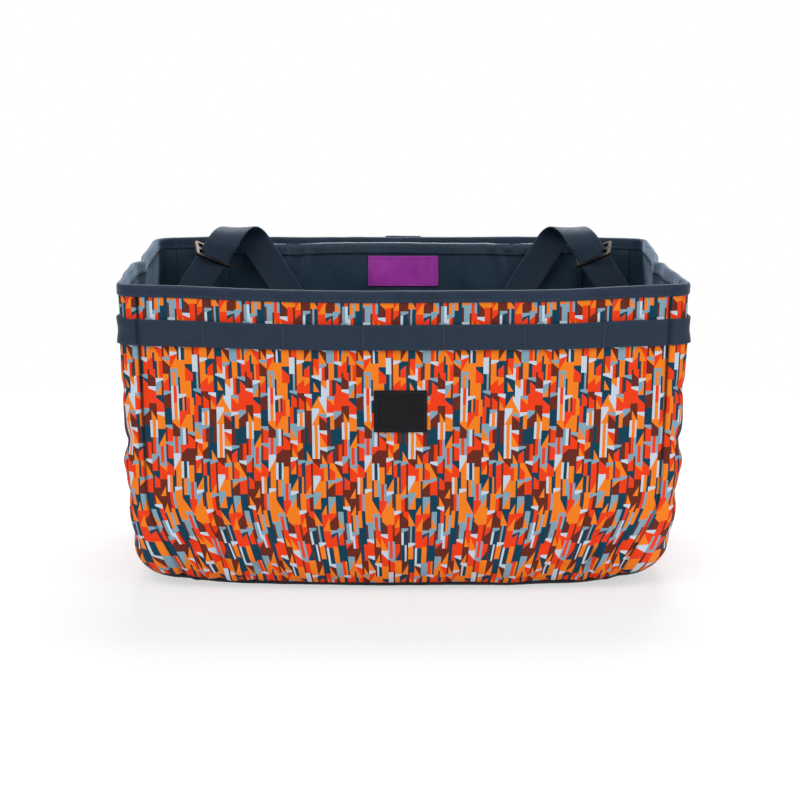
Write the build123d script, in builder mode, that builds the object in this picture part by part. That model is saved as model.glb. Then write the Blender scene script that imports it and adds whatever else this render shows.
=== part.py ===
"""Handlebar basket: a soft, stiffened fabric basket that hangs on a bicycle's front carrier block.

Millimetres. +Z is up, +X is to the right as seen from the front, and the printed front faces -Y. The
bicycle is on the +Y side. The origin is at the bottom, in the middle of the whole object's box.
"""
from build123d import *
from math import cos, hypot, pi, radians, sin, tan
import os

os.makedirs("parts", exist_ok=True)

# ---------------------------------------------------------------- driving dimensions: fabric body
rim_width = 432.0  # between the outer faces of the side walls at the rim
base_width = 416.0  # the same at the base
rim_height = 236.0  # top of the rim binding
body_depth = 280.0  # back wall to front corners, outside
rim_bow = 18.0  # how far the front bulges in the middle, at the rim
base_bow = 12.0  # and at the base
front_corner_r = 16.0  # upright corners, at the rim
back_corner_r = 22.0
base_corner_r = 36.0  # all four, at the base
bottom_edge_r = 28.0

# layers of the wall, from the outside in
fabric_t = 1.0
board_t = 1.8
lining_t = 0.8
layer_gap = 0.1  # between sewn layers
corner_seam_in = 12.0  # from the side wall's outer face to the corner seam, at the rim
base_seam_in = 24.0  # from the wall's outer face to the seam of the base

# sewn-on parts
binding_t = 1.2
binding_h = 9.5
binding_lap = 30.0  # length of the overlap where the rim binding's ends meet
band_w = 20.0
band_t = 1.4
band_z = 200.0
patch_w = 35.0
patch_h = 31.0
patch_t = 0.9
patch_z = 142.0

# inner pocket, a padded sleeve on the back wall
pocket_w = 298.0
pocket_top = 233.0
pocket_bottom = 32.0
pocket_pad_t = 6.0
pocket_space = 10.0  # free depth behind the padding
pocket_wall_t = 1.2
pocket_corner_r = 14.0
hem_t = 0.8
hem_h = 9.0
label_w = 59.0
label_h = 25.0
label_t = 0.6
label_z = 210.0

# ---------------------------------------------------------------- driving dimensions: shoulder strap
strap_w = 25.0
strap_t = 1.4
strap_lean = 33.0  # degrees from upright, in both legs of each arch
strap_apex_x = 138.0
strap_apex_z = 252.0
strap_turn_r = 14.0
strap_leg = 62.0  # straight stretch below each arch, on which the adjuster slides
strap_inner_leg = 48.0  # straight stretch on the other side of the arch
strap_standoff = 9.0  # from the pocket to the middle of the webbing
strap_floor_run = 56.0  # length that lies flat on the floor
strap_seat = 0.4  # between the webbing and the floor
anchor_z = 112.0
anchor_w = 34.0
anchor_h = 42.0
anchor_t = 1.2
anchor_corner_r = 3.0

adjuster_w = 33.0
adjuster_bar = 2.8
adjuster_slot_h = 5.6
adjuster_slot_w = 26.6
adjuster_t = 2.4
adjuster_tilt = 50.0  # degrees between the adjuster and the webbing that runs through it
adjuster_down = 10.0  # from the start of the arch to the webbing's way through the slot

# ---------------------------------------------------------------- driving dimensions: carrier
tube_side = 12.0
tube_wall = 1.5
tube_corner_r = 2.5
frame_w = 250.0
frame_h = 188.0
frame_z = 30.0  # underside of the frame
frame_seat = 0.3  # between the frame and the sleeve that it stands in
sleeve_t = 1.2
sleeve_clearance = 0.5
sleeve_flange = 9.0
sleeve_h = 170.0
sleeve_corner_r = 8.0
sleeve_slot_gap = 3.0  # round the block and its bolts
sleeve_tape_w = 8.0
sleeve_tape_t = 0.8
plate_w = 92.0
plate_t = 3.0
block_w = 78.0
block_h = 84.0
block_depth = 34.0
block_z = 140.0  # middle of the block
block_corner_r = 8.0
block_edge_r = 2.5
block_draft = 4.0  # degrees
block_flange_t = 4.0
block_flange_h = 112.0
socket_w = 44.0  # at its closed upper end
socket_taper = 5.0  # degrees, each side
socket_depth = 22.0
socket_lip = 6.0  # undercut on each side, which holds the wedge
socket_roof = 10.0
latch_r = 6.2
latch_up = 12.0  # above the middle of the block
plate_hole_w = 54.0
plate_hole_h = 22.0
bolt_d = 5.0
bolt_pitch_x = 64.0
bolt_pitch_z = 98.0
bolt_clearance = 0.1
bolt_head_r = 4.6
bolt_head_h = 2.8
bolt_key_r = 1.7
bolt_key_h = 1.6
bolt_tip = 0.8  # past the nut
nut_r = 4.6
nut_h = 3.6

# ---------------------------------------------------------------- worked out from them
wall_t = fabric_t + board_t + lining_t + 2 * layer_gap
wall_top = rim_height - binding_t - layer_gap
flare = (rim_width - base_width) / 2 / rim_height
rim_stack = 2 * (binding_t + layer_gap)  # how far the binding's join stands out of the back
frame_gap = rim_stack + sleeve_clearance
carrier_stack = frame_gap + (tube_side + plate_t) / 2 + block_depth
total_depth = binding_t + layer_gap + rim_bow + body_depth + carrier_stack
corner_y = binding_t + layer_gap + rim_bow - total_depth / 2  # front corners
back_y = corner_y + body_depth  # outer face of the back wall
inner_back_y = back_y - wall_t

pocket_depth = pocket_space + pocket_pad_t
pocket_face_y = inner_back_y - binding_t - 2 * layer_gap - pocket_depth

frame_y = back_y + frame_gap + tube_side / 2  # middle of the frame's tubes
plate_face_y = frame_y + plate_t / 2
frame_top = frame_z + frame_h
far = 2 * (rim_width + body_depth)  # longer than anything here


def write(part, name):
    """Labels a finished piece and writes it to its own file."""
    part.label = name
    export_step(part, f"parts/{name}.step")


# ================================================================ forms of the body
def plan(height, inset):
    """The basket's outline at one height, drawn in from the outer face by inset."""
    share = height / rim_height
    half_front = base_width / 2 + flare * height
    bow = base_bow + (rim_bow - base_bow) * share
    with BuildSketch(Plane.XY.offset(height)) as outline:
        with BuildLine():
            ThreePointArc((-half_front, corner_y), (0, corner_y - bow), (half_front, corner_y))
            Polyline(
                (half_front, corner_y), (half_front, back_y),
                (-half_front, back_y), (-half_front, corner_y),
            )
        make_face()
        fillet(outline.vertices().group_by(Axis.Y)[-1],
               base_corner_r + (back_corner_r - base_corner_r) * share)
        fillet(outline.vertices().group_by(Axis.Y)[0],
               base_corner_r + (front_corner_r - base_corner_r) * share)
        if inset:
            offset(amount=-inset, kind=Kind.INTERSECTION)
    return outline.sketch


def body_form(inset, top):
    """The solid inside one layer of the wall: inset from the outer face, up to the height top."""
    with BuildPart() as form:
        add(plan(inset, inset))
        add(plan(top, inset))
        loft()
        fillet(form.edges().group_by(Axis.Z)[0], bottom_edge_r - inset)
    return form.part


def skin(outer, inner, low, high):
    """One layer between two insets, from the height low to the height high."""
    with BuildPart() as layer:
        add(body_form(outer, high))
        add(body_form(inner, high + wall_t), mode=Mode.SUBTRACT)
        if low > 0:
            with BuildSketch(Plane.XY.offset(-wall_t)):
                Rectangle(far, far)
            extrude(amount=low + wall_t, mode=Mode.SUBTRACT)
    return layer.part


# ---------------------------------------------------------------- where one panel ends and the next begins
front_part_y = corner_y + base_corner_r  # the front panel reaches back to here, under the basket
back_part_y = back_y - base_corner_r


def between_seams(height):
    """The strip of a level between the left and the right corner seams."""
    with BuildSketch(Plane.XY.offset(height)) as strip:
        Rectangle(base_width + 2 * (flare * height - corner_seam_in), far)
    return strip.sketch


with BuildPart() as base_region:
    with BuildSketch(Plane.XY.offset(-wall_t)):
        add(plan(0, base_seam_in))
    extrude(amount=wall_t + bottom_edge_r / 2)

with BuildPart() as middle_region:
    add(between_seams(-wall_t))
    add(between_seams(rim_height + wall_t))
    loft()
    add(base_region.part, mode=Mode.SUBTRACT)

with BuildPart() as front_region:
    add(middle_region.part)
    split(bisect_by=Plane.XZ.offset(-front_part_y), keep=Keep.TOP)

with BuildPart() as back_region:
    add(middle_region.part)
    split(bisect_by=Plane.XZ.offset(-back_part_y), keep=Keep.BOTTOM)

with BuildPart() as right_region:
    with BuildSketch(Plane.XY.offset(-wall_t)):
        with Locations((far / 2, 0)):
            Rectangle(far, far)
    extrude(amount=rim_height + 2 * wall_t)
    add(front_region.part, mode=Mode.SUBTRACT)
    add(back_region.part, mode=Mode.SUBTRACT)
    add(base_region.part, mode=Mode.SUBTRACT)

with BuildPart() as left_region:
    add(right_region.part)
    mirror(about=Plane.YZ, mode=Mode.REPLACE)

regions = {
    "front": front_region.part,
    "back": back_region.part,
    "left_side": left_region.part,
    "right_side": right_region.part,
    "base": base_region.part,
}
layers = {
    "panel": (0, fabric_t),
    "board": (fabric_t + layer_gap, fabric_t + layer_gap + board_t),
    "lining": (wall_t - lining_t, wall_t),
}

# ================================================================ the wall: panels, boards, lining
for layer_name, (outer_face, inner_face) in layers.items():
    whole_layer = skin(outer_face, inner_face, 0, wall_top)
    for region_name, region in regions.items():
        with BuildPart() as piece:
            add(whole_layer)
            add(region, mode=Mode.INTERSECT)
        soft_side = layer_name == "board" and region_name.endswith("side")
        kind = "foam" if soft_side else layer_name
        write(piece.part, f"{region_name}_{kind}")

# ================================================================ rim binding, folded over the wall's edge
binding_out = binding_t + layer_gap
with BuildPart() as rim_binding:
    add(skin(-binding_out, wall_t + binding_out, rim_height - binding_h, rim_height))
    add(skin(-layer_gap, wall_t + layer_gap, 0, wall_top + layer_gap), mode=Mode.SUBTRACT)
write(rim_binding.part, "rim_binding")

with BuildPart() as binding_join:
    with BuildSketch(Plane.XY.offset(rim_height - binding_h)):
        with Locations((0, back_y + binding_out + layer_gap + binding_t / 2)):
            Rectangle(binding_lap, binding_t)
    extrude(amount=binding_h)
write(binding_join.part, "rim_binding_join")

# ================================================================ webbing band round the front and sides
band_low = band_z - band_w / 2
band_high = band_z + band_w / 2
band_out = band_t + layer_gap
with BuildPart() as webbing_band:
    add(skin(-band_out, -layer_gap, band_low, band_high))
    with BuildSketch():
        with Locations((0, back_y - back_corner_r - far / 2)):
            Rectangle(far, far)
    extrude(amount=rim_height, mode=Mode.INTERSECT)
write(webbing_band.part, "webbing_band")

# ================================================================ blank patch on the front
with BuildPart() as front_patch:
    add(skin(-patch_t - layer_gap, -layer_gap, patch_z - patch_h / 2, patch_z + patch_h / 2))
    with BuildSketch():
        with Locations((0, front_part_y - far / 2)):
            Rectangle(patch_w, far)
    extrude(amount=rim_height, mode=Mode.INTERSECT)
write(front_patch.part, "front_patch")

# ================================================================ inner pocket with its hem and blank label
pocket_h = pocket_top - pocket_bottom
pocket_plane = Plane(
    origin=(0, pocket_face_y, (pocket_top + pocket_bottom) / 2), x_dir=(1, 0, 0), z_dir=(0, -1, 0)
)
with BuildPart() as inner_pocket:
    with BuildSketch(pocket_plane) as pocket_outline:
        Rectangle(pocket_w, pocket_h)
        fillet(pocket_outline.vertices().group_by(Axis.Y)[0], pocket_corner_r)
    extrude(amount=-pocket_depth)
    with BuildSketch(pocket_plane.offset(-pocket_depth)) as pocket_hollow:
        with Locations((0, pocket_wall_t)):
            Rectangle(pocket_w - 2 * pocket_wall_t, pocket_h)
        fillet(pocket_hollow.vertices().group_by(Axis.Y)[0], pocket_corner_r - pocket_wall_t)
    extrude(amount=pocket_space, mode=Mode.SUBTRACT)
    fillet(inner_pocket.faces().sort_by(Axis.Y)[0].outer_wire().edges().sort_by(Axis.Z)[:-1],
           pocket_pad_t / 3)
write(inner_pocket.part, "inner_pocket")

hem_plane = Plane.XZ.offset(-pocket_face_y + hem_t + layer_gap)
hem_outer_d = pocket_pad_t + 2 * (hem_t + layer_gap)
with BuildPart() as pocket_hem:
    with BuildSketch(hem_plane):
        with Locations((0, pocket_top + layer_gap + hem_t - hem_h / 2)):
            Rectangle(pocket_w - 2 * pocket_wall_t - 2 * layer_gap, hem_h)
    extrude(amount=-hem_outer_d)
    with BuildSketch(hem_plane.offset(-hem_t)):
        with Locations((0, pocket_top + layer_gap - hem_h / 2)):
            Rectangle(pocket_w, hem_h)
    extrude(amount=-(hem_outer_d - 2 * hem_t), mode=Mode.SUBTRACT)
write(pocket_hem.part, "pocket_hem")

with BuildPart() as inner_label:
    with BuildSketch(Plane.XZ.offset(-pocket_face_y + layer_gap)):
        with Locations((0, label_z)):
            Rectangle(label_w, label_h)
    extrude(amount=label_t)
write(inner_label.part, "inner_label")

# ================================================================ shoulder strap
lean = radians(strap_lean)
turn_advance = pi * strap_turn_r * tan(lean)  # sideways, while the webbing turns over
strap_back_y = pocket_face_y - strap_standoff
strap_front_y = strap_back_y - 2 * strap_turn_r
turn_z = strap_apex_z - strap_t / 2 - strap_turn_r
turn_start_x = -strap_apex_x - turn_advance / 2
outer_leg_way = Vector(sin(lean), 0, cos(lean))
inner_leg_way = Vector(sin(lean), 0, -cos(lean))

# the patch sewn to each side wall, and the webbing's end on it
side_tilt = Vector(-flare, 0, 1).normalized()  # up along the left side wall
side_out = Vector(1, 0, flare).normalized()  # off it, into the basket
side_face = Vector(-(base_width / 2 + flare * anchor_z - hypot(1, flare) * wall_t), strap_front_y, anchor_z)
anchor_plane = Plane(origin=side_face + side_out * layer_gap, x_dir=(0, 1, 0), z_dir=side_out)
end_plane = anchor_plane.offset(anchor_t + 2 * layer_gap + strap_t / 2)
strap_end_h = anchor_h - 2 * anchor_corner_r


def ribbon_plane(spot, way, across):
    """A cross-section plane of the webbing: its x runs across the webbing, its z along it."""
    return Plane(origin=spot, x_dir=across, z_dir=way)


def twisted_run(curve, across_start, across_end, steps):
    """Cross-section planes along a curve on which the webbing twists from one lie to another."""
    planes = []
    for step in range(steps + 1):
        share = step / steps
        eased = share * share * (3 - 2 * share)
        across = across_start * (1 - eased) + across_end * eased
        planes.append(ribbon_plane(curve @ share, curve % share, across))
    return planes


def webbing(planes):
    """A stretch of webbing through a row of cross-section planes."""
    with BuildPart() as stretch:
        for plane in planes:
            with BuildSketch(plane):
                Rectangle(strap_w, strap_t)
        loft()
    return stretch.part


def turn_plane(angle):
    """The webbing's cross-section part of the way round the arch, from 0 to pi."""
    radial = Vector(0, -cos(angle), sin(angle))
    axis_spot = Vector(turn_start_x + turn_advance * angle / pi, strap_back_y - strap_turn_r, turn_z)
    along = Vector(sin(lean), cos(lean) * sin(angle), cos(lean) * cos(angle))
    return ribbon_plane(axis_spot + radial * strap_turn_r, along, along.cross(radial))


turn_stretches = 3  # each of two steps
turn_steps = 2 * turn_stretches
turn_planes = [turn_plane(pi * step / turn_steps) for step in range(turn_steps + 1)]
outer_top = turn_planes[0].origin
outer_foot = outer_top - outer_leg_way * strap_leg
inner_top = turn_planes[-1].origin
inner_foot = inner_top + inner_leg_way * strap_inner_leg
outer_across = turn_planes[0].x_dir
inner_across = turn_planes[-1].x_dir

end_top = end_plane.origin + side_tilt * strap_end_h / 2
floor_y = back_y - bottom_edge_r - strap_w / 2 - strap_seat
floor_spot = Vector(-strap_floor_run / 2, floor_y, wall_t + strap_seat + strap_t / 2)
with BuildLine() as outer_curve:
    Bezier(end_top, end_top + side_tilt * 22, outer_foot - outer_leg_way * 22, outer_foot)
with BuildLine() as inner_curve:
    Bezier(
        inner_foot,
        inner_foot + inner_leg_way * 52,
        floor_spot + Vector(-44, 0, 0),
        floor_spot,
    )

with BuildPart() as strap_half:
    add(webbing([
        ribbon_plane(end_top - side_tilt * strap_end_h, side_tilt, Vector(0, -1, 0)),
        ribbon_plane(end_top, side_tilt, Vector(0, -1, 0)),
    ]))
    add(webbing(twisted_run(outer_curve.edges()[0], Vector(0, -1, 0), outer_across, 4)))
    add(webbing([ribbon_plane(outer_foot, outer_leg_way, outer_across), turn_planes[0]]))
    for stretch in range(turn_stretches):
        add(webbing(turn_planes[2 * stretch:2 * stretch + 3]))
    add(webbing([turn_planes[-1], ribbon_plane(inner_foot, inner_leg_way, inner_across)]))
    add(webbing(twisted_run(inner_curve.edges()[0], inner_across, Vector(0, 1, 0), 6)))
    add(webbing([
        ribbon_plane(floor_spot, Vector(1, 0, 0), Vector(0, 1, 0)),
        ribbon_plane(Vector(0, floor_spot.Y, floor_spot.Z), Vector(1, 0, 0), Vector(0, 1, 0)),
    ]))
print("strap length", round(2 * strap_half.part.volume / strap_w / strap_t))
with BuildPart() as shoulder_strap:
    add(strap_half.part)
    mirror(about=Plane.YZ)
write(shoulder_strap.part, "shoulder_strap")

with BuildPart() as left_anchor:
    with BuildSketch(anchor_plane):
        RectangleRounded(anchor_w, anchor_h, anchor_corner_r)
    extrude(amount=anchor_t)
write(left_anchor.part, "left_strap_anchor")

with BuildPart() as right_anchor:
    add(left_anchor.part)
    mirror(about=Plane.YZ, mode=Mode.REPLACE)
write(right_anchor.part, "right_strap_anchor")

# ================================================================ adjusters, one on each outer leg
adjuster_h = 3 * adjuster_bar + 2 * adjuster_slot_h
slot_pitch = adjuster_bar + adjuster_slot_h
tilt = radians(adjuster_tilt)
adjuster_up = outer_leg_way * cos(tilt) + Vector(0, 1, 0) * sin(tilt)
lower_slot = outer_top - outer_leg_way * adjuster_down
adjuster_plane = Plane(
    origin=lower_slot + adjuster_up * (slot_pitch / 2),
    x_dir=outer_across,
    z_dir=outer_across.cross(adjuster_up),
)
with BuildPart() as left_adjuster:
    with BuildSketch(adjuster_plane):
        RectangleRounded(adjuster_w, adjuster_h, adjuster_bar)
        with GridLocations(0, slot_pitch, 1, 2):
            RectangleRounded(adjuster_slot_w, adjuster_slot_h, adjuster_bar / 2, mode=Mode.SUBTRACT)
    extrude(amount=adjuster_t / 2, both=True)
    fillet(left_adjuster.faces().sort_by(SortBy.AREA)[-2:].edges(), adjuster_t / 4)
write(left_adjuster.part, "left_adjuster")

with BuildPart() as right_adjuster:
    add(left_adjuster.part)
    mirror(about=Plane.YZ, mode=Mode.REPLACE)
write(right_adjuster.part, "right_adjuster")

# ================================================================ sleeve on the back, which holds the frame
sleeve_space = frame_gap + tube_side + sleeve_clearance - layer_gap
sleeve_space_w = frame_w + 2 * sleeve_clearance
sleeve_w = sleeve_space_w + 2 * sleeve_t
sleeve_low = frame_z - frame_seat - sleeve_t
sleeve_top = sleeve_low + sleeve_h
slot_w = block_w + 2 * sleeve_slot_gap
slot_low = block_z - bolt_pitch_z / 2 - bolt_head_r - sleeve_slot_gap
slot_h = sleeve_top - slot_low
sleeve_plane = Plane(origin=(0, back_y + layer_gap, 0), x_dir=(-1, 0, 0), z_dir=(0, 1, 0))


def hanging_rectangle(width, low, high):
    """A rectangle of the sketch in hand, from one height to another."""
    with Locations((0, (low + high) / 2)):
        Rectangle(width, high - low)


with BuildPart() as rear_sleeve:
    with BuildSketch(sleeve_plane):
        hanging_rectangle(sleeve_w + 2 * sleeve_flange, sleeve_low - sleeve_flange, sleeve_top)
    extrude(amount=sleeve_t)
    with BuildSketch(sleeve_plane) as tray:
        hanging_rectangle(sleeve_w, sleeve_low, sleeve_top)
        fillet(tray.vertices().group_by(Axis.Z)[0], sleeve_corner_r)
    extrude(amount=sleeve_space + sleeve_t)
    with BuildSketch(sleeve_plane):
        hanging_rectangle(sleeve_space_w, sleeve_low + sleeve_t, sleeve_top)
    extrude(amount=sleeve_space, mode=Mode.SUBTRACT)
    with BuildSketch(sleeve_plane.offset(sleeve_space)):
        hanging_rectangle(slot_w, slot_low, sleeve_top)
    extrude(amount=sleeve_t, mode=Mode.SUBTRACT)
write(rear_sleeve.part, "rear_sleeve")

with BuildPart() as sleeve_tape:
    with BuildSketch(sleeve_plane.offset(sleeve_space + sleeve_t + layer_gap)):
        hanging_rectangle(slot_w + 2 * sleeve_tape_w, slot_low - sleeve_tape_w, sleeve_top)
        with Locations((0, slot_low + slot_h / 2)):
            Rectangle(slot_w, slot_h, mode=Mode.SUBTRACT)
    extrude(amount=sleeve_tape_t)
write(sleeve_tape.part, "sleeve_tape")

# ================================================================ carrier frame: four mitred tubes and a plate
tube_x = (frame_w - tube_side) / 2
low_mitre = Plane(origin=(-frame_w / 2, frame_y, frame_z), z_dir=(-1, 0, 1))
high_mitre = Plane(origin=(-frame_w / 2, frame_y, frame_top), z_dir=(-1, 0, -1))
frame_middle = Plane.XY.offset(frame_z + frame_h / 2)


def tube_section():
    """The frame tube's hollow section, in the sketch in hand."""
    RectangleRounded(tube_side, tube_side, tube_corner_r)
    inside = tube_side - 2 * tube_wall
    RectangleRounded(inside, inside, tube_corner_r - tube_wall, mode=Mode.SUBTRACT)


with BuildPart() as left_tube:
    with BuildSketch(Plane.XY.offset(frame_z)):
        with Locations((-tube_x, frame_y)):
            tube_section()
    extrude(amount=frame_h)
    split(bisect_by=low_mitre, keep=Keep.TOP)
    split(bisect_by=high_mitre, keep=Keep.TOP)
write(left_tube.part, "frame_tube_left")

with BuildPart() as right_tube:
    add(left_tube.part)
    mirror(about=Plane.YZ, mode=Mode.REPLACE)
write(right_tube.part, "frame_tube_right")

with BuildPart() as lower_tube:
    with BuildSketch(Plane.YZ.offset(-frame_w / 2)):
        with Locations((frame_y, frame_z + tube_side / 2)):
            tube_section()
    extrude(amount=frame_w / 2)
    split(bisect_by=low_mitre, keep=Keep.BOTTOM)
    mirror(about=Plane.YZ)
write(lower_tube.part, "frame_tube_lower")

with BuildPart() as upper_tube:
    add(lower_tube.part)
    mirror(about=frame_middle, mode=Mode.REPLACE)
write(upper_tube.part, "frame_tube_upper")

plate_low = frame_z + tube_side
plate_high = frame_top - tube_side
plate_plane = Plane(origin=(0, plate_face_y, 0), x_dir=(-1, 0, 0), z_dir=(0, 1, 0))
block_plane = Plane(origin=(0, plate_face_y, block_z), x_dir=(-1, 0, 0), z_dir=(0, 1, 0))
plate_hole_z = (plate_low + block_z - block_flange_h / 2) / 2
with BuildPart() as carrier_plate:
    with BuildSketch(plate_plane):
        hanging_rectangle(plate_w, plate_low, plate_high)
        with Locations((0, plate_hole_z)):
            SlotOverall(plate_hole_w, plate_hole_h, mode=Mode.SUBTRACT)
    extrude(amount=-plate_t)
    with BuildSketch(block_plane):
        with GridLocations(bolt_pitch_x, bolt_pitch_z, 2, 2):
            Circle(bolt_d / 2 + bolt_clearance)
    extrude(amount=-plate_t, mode=Mode.SUBTRACT)
write(carrier_plate.part, "carrier_plate")

# ================================================================ carrier block, a socket that drops over the bike's wedge
socket_low = block_z - block_h / 2
socket_high = block_z + block_h / 2 - socket_roof
socket_spread = 2 * tan(radians(socket_taper)) * (socket_high - socket_low)
block_rear_y = plate_face_y + block_depth


def wedge_section(height, width):
    """The socket's section at one height: wide inside, narrower at its mouth."""
    with BuildSketch(Plane.XY.offset(height)) as section:
        with BuildLine():
            Polyline(
                (-width / 2, block_rear_y - socket_depth), (width / 2, block_rear_y - socket_depth),
                (width / 2 - socket_lip, block_rear_y), (-width / 2 + socket_lip, block_rear_y),
                close=True,
            )
        make_face()
    return section.sketch


with BuildPart() as carrier_block:
    with BuildSketch(block_plane):
        RectangleRounded(plate_w, block_flange_h, block_corner_r)
    extrude(amount=block_flange_t)
    with BuildSketch(block_plane.offset(block_flange_t)):
        RectangleRounded(block_w, block_h, block_corner_r)
    extrude(amount=block_depth - block_flange_t, taper=block_draft)
    fillet(carrier_block.faces().sort_by(Axis.Y)[-1].edges(), block_edge_r)
    add(wedge_section(socket_high, socket_w))
    add(wedge_section(socket_low, socket_w + socket_spread))
    loft(mode=Mode.SUBTRACT)
    with BuildSketch(block_plane):
        with Locations((0, latch_up)):
            Circle(latch_r)
    extrude(amount=block_depth, mode=Mode.SUBTRACT)
    with BuildSketch(block_plane):
        with GridLocations(bolt_pitch_x, bolt_pitch_z, 2, 2):
            Circle(bolt_d / 2 + bolt_clearance)
    extrude(amount=block_flange_t, mode=Mode.SUBTRACT)
write(carrier_block.part, "carrier_block")

# ================================================================ bolts and nuts that hold the block to the plate
head_plane = block_plane.offset(block_flange_t)
nut_plane = block_plane.offset(-plate_t)
with BuildPart() as bolts:
    with BuildSketch(head_plane):
        with GridLocations(bolt_pitch_x, bolt_pitch_z, 2, 2):
            Circle(bolt_head_r)
    extrude(amount=bolt_head_h)
    with BuildSketch(head_plane):
        with GridLocations(bolt_pitch_x, bolt_pitch_z, 2, 2):
            Circle(bolt_d / 2)
    extrude(amount=-(block_flange_t + plate_t + nut_h + bolt_tip))
    with BuildSketch(head_plane.offset(bolt_head_h)):
        with GridLocations(bolt_pitch_x, bolt_pitch_z, 2, 2):
            RegularPolygon(bolt_key_r, 6)
    extrude(amount=-bolt_key_h, mode=Mode.SUBTRACT)
write(bolts.part, "carrier_bolts")

with BuildPart() as nuts:
    with BuildSketch(nut_plane):
        with GridLocations(bolt_pitch_x, bolt_pitch_z, 2, 2):
            RegularPolygon(nut_r, 6)
            Circle(bolt_d / 2 + layer_gap / 2, mode=Mode.SUBTRACT)
    extrude(amount=-nut_h)
write(nuts.part, "carrier_nuts")
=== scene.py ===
"""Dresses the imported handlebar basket: printed cloth, lining, webbing, padding, frame and block.

Lengths are metres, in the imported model's frame: +Z up, +X to the right of the printed front, which
faces -Y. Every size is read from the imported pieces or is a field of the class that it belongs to.
"""

import logging
from dataclasses import dataclass, field
from enum import Enum
from math import asin, atan2, ceil, cos, exp, floor, hypot, pi, radians, sin, tan
from typing import Callable, Iterable, Optional, Sequence

import bmesh
import bpy
from bpy.types import Material, NodeSocket, NodeTree, Object
from mathutils import Matrix, Vector, noise


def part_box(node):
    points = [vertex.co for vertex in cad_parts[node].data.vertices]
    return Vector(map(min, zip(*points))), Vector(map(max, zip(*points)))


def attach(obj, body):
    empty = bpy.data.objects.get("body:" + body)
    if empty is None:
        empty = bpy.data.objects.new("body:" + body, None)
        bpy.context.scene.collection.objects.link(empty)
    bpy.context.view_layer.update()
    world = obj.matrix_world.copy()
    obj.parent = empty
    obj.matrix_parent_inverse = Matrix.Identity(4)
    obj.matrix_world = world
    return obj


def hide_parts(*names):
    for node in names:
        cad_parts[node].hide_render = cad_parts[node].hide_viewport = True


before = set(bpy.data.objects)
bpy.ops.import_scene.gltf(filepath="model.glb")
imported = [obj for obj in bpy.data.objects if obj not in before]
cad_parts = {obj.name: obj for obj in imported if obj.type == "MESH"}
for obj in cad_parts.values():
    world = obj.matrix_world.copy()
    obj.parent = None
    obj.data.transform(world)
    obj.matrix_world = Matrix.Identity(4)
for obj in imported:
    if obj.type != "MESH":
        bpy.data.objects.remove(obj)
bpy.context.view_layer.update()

logging.basicConfig(level=logging.INFO, format="%(message)s")
log = logging.getLogger("basket")

BASKET = "basket"
MM = 0.001

Color = tuple[float, float, float]
Spot = tuple[float, float]  # a place on a flat cut of cloth
Row = tuple[Callable[[float], Vector], float]  # a row of stitches: its place by distance, and its length


def eased(share: float) -> float:
    """Smooth step from 0 to 1."""
    share = min(max(share, 0.0), 1.0)
    return share * share * (3 - 2 * share)


def hump(distance: float, width: float) -> float:
    """A bell that is 1 at no distance and near 0 past twice the width."""
    return exp(-((distance / width) ** 2))


def wave_noise(x: float, y: float, seed: float) -> float:
    """Smooth noise from -1 to 1 at a place on a cloth, in its own units."""
    return noise.noise(Vector((x, y, seed)))


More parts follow.
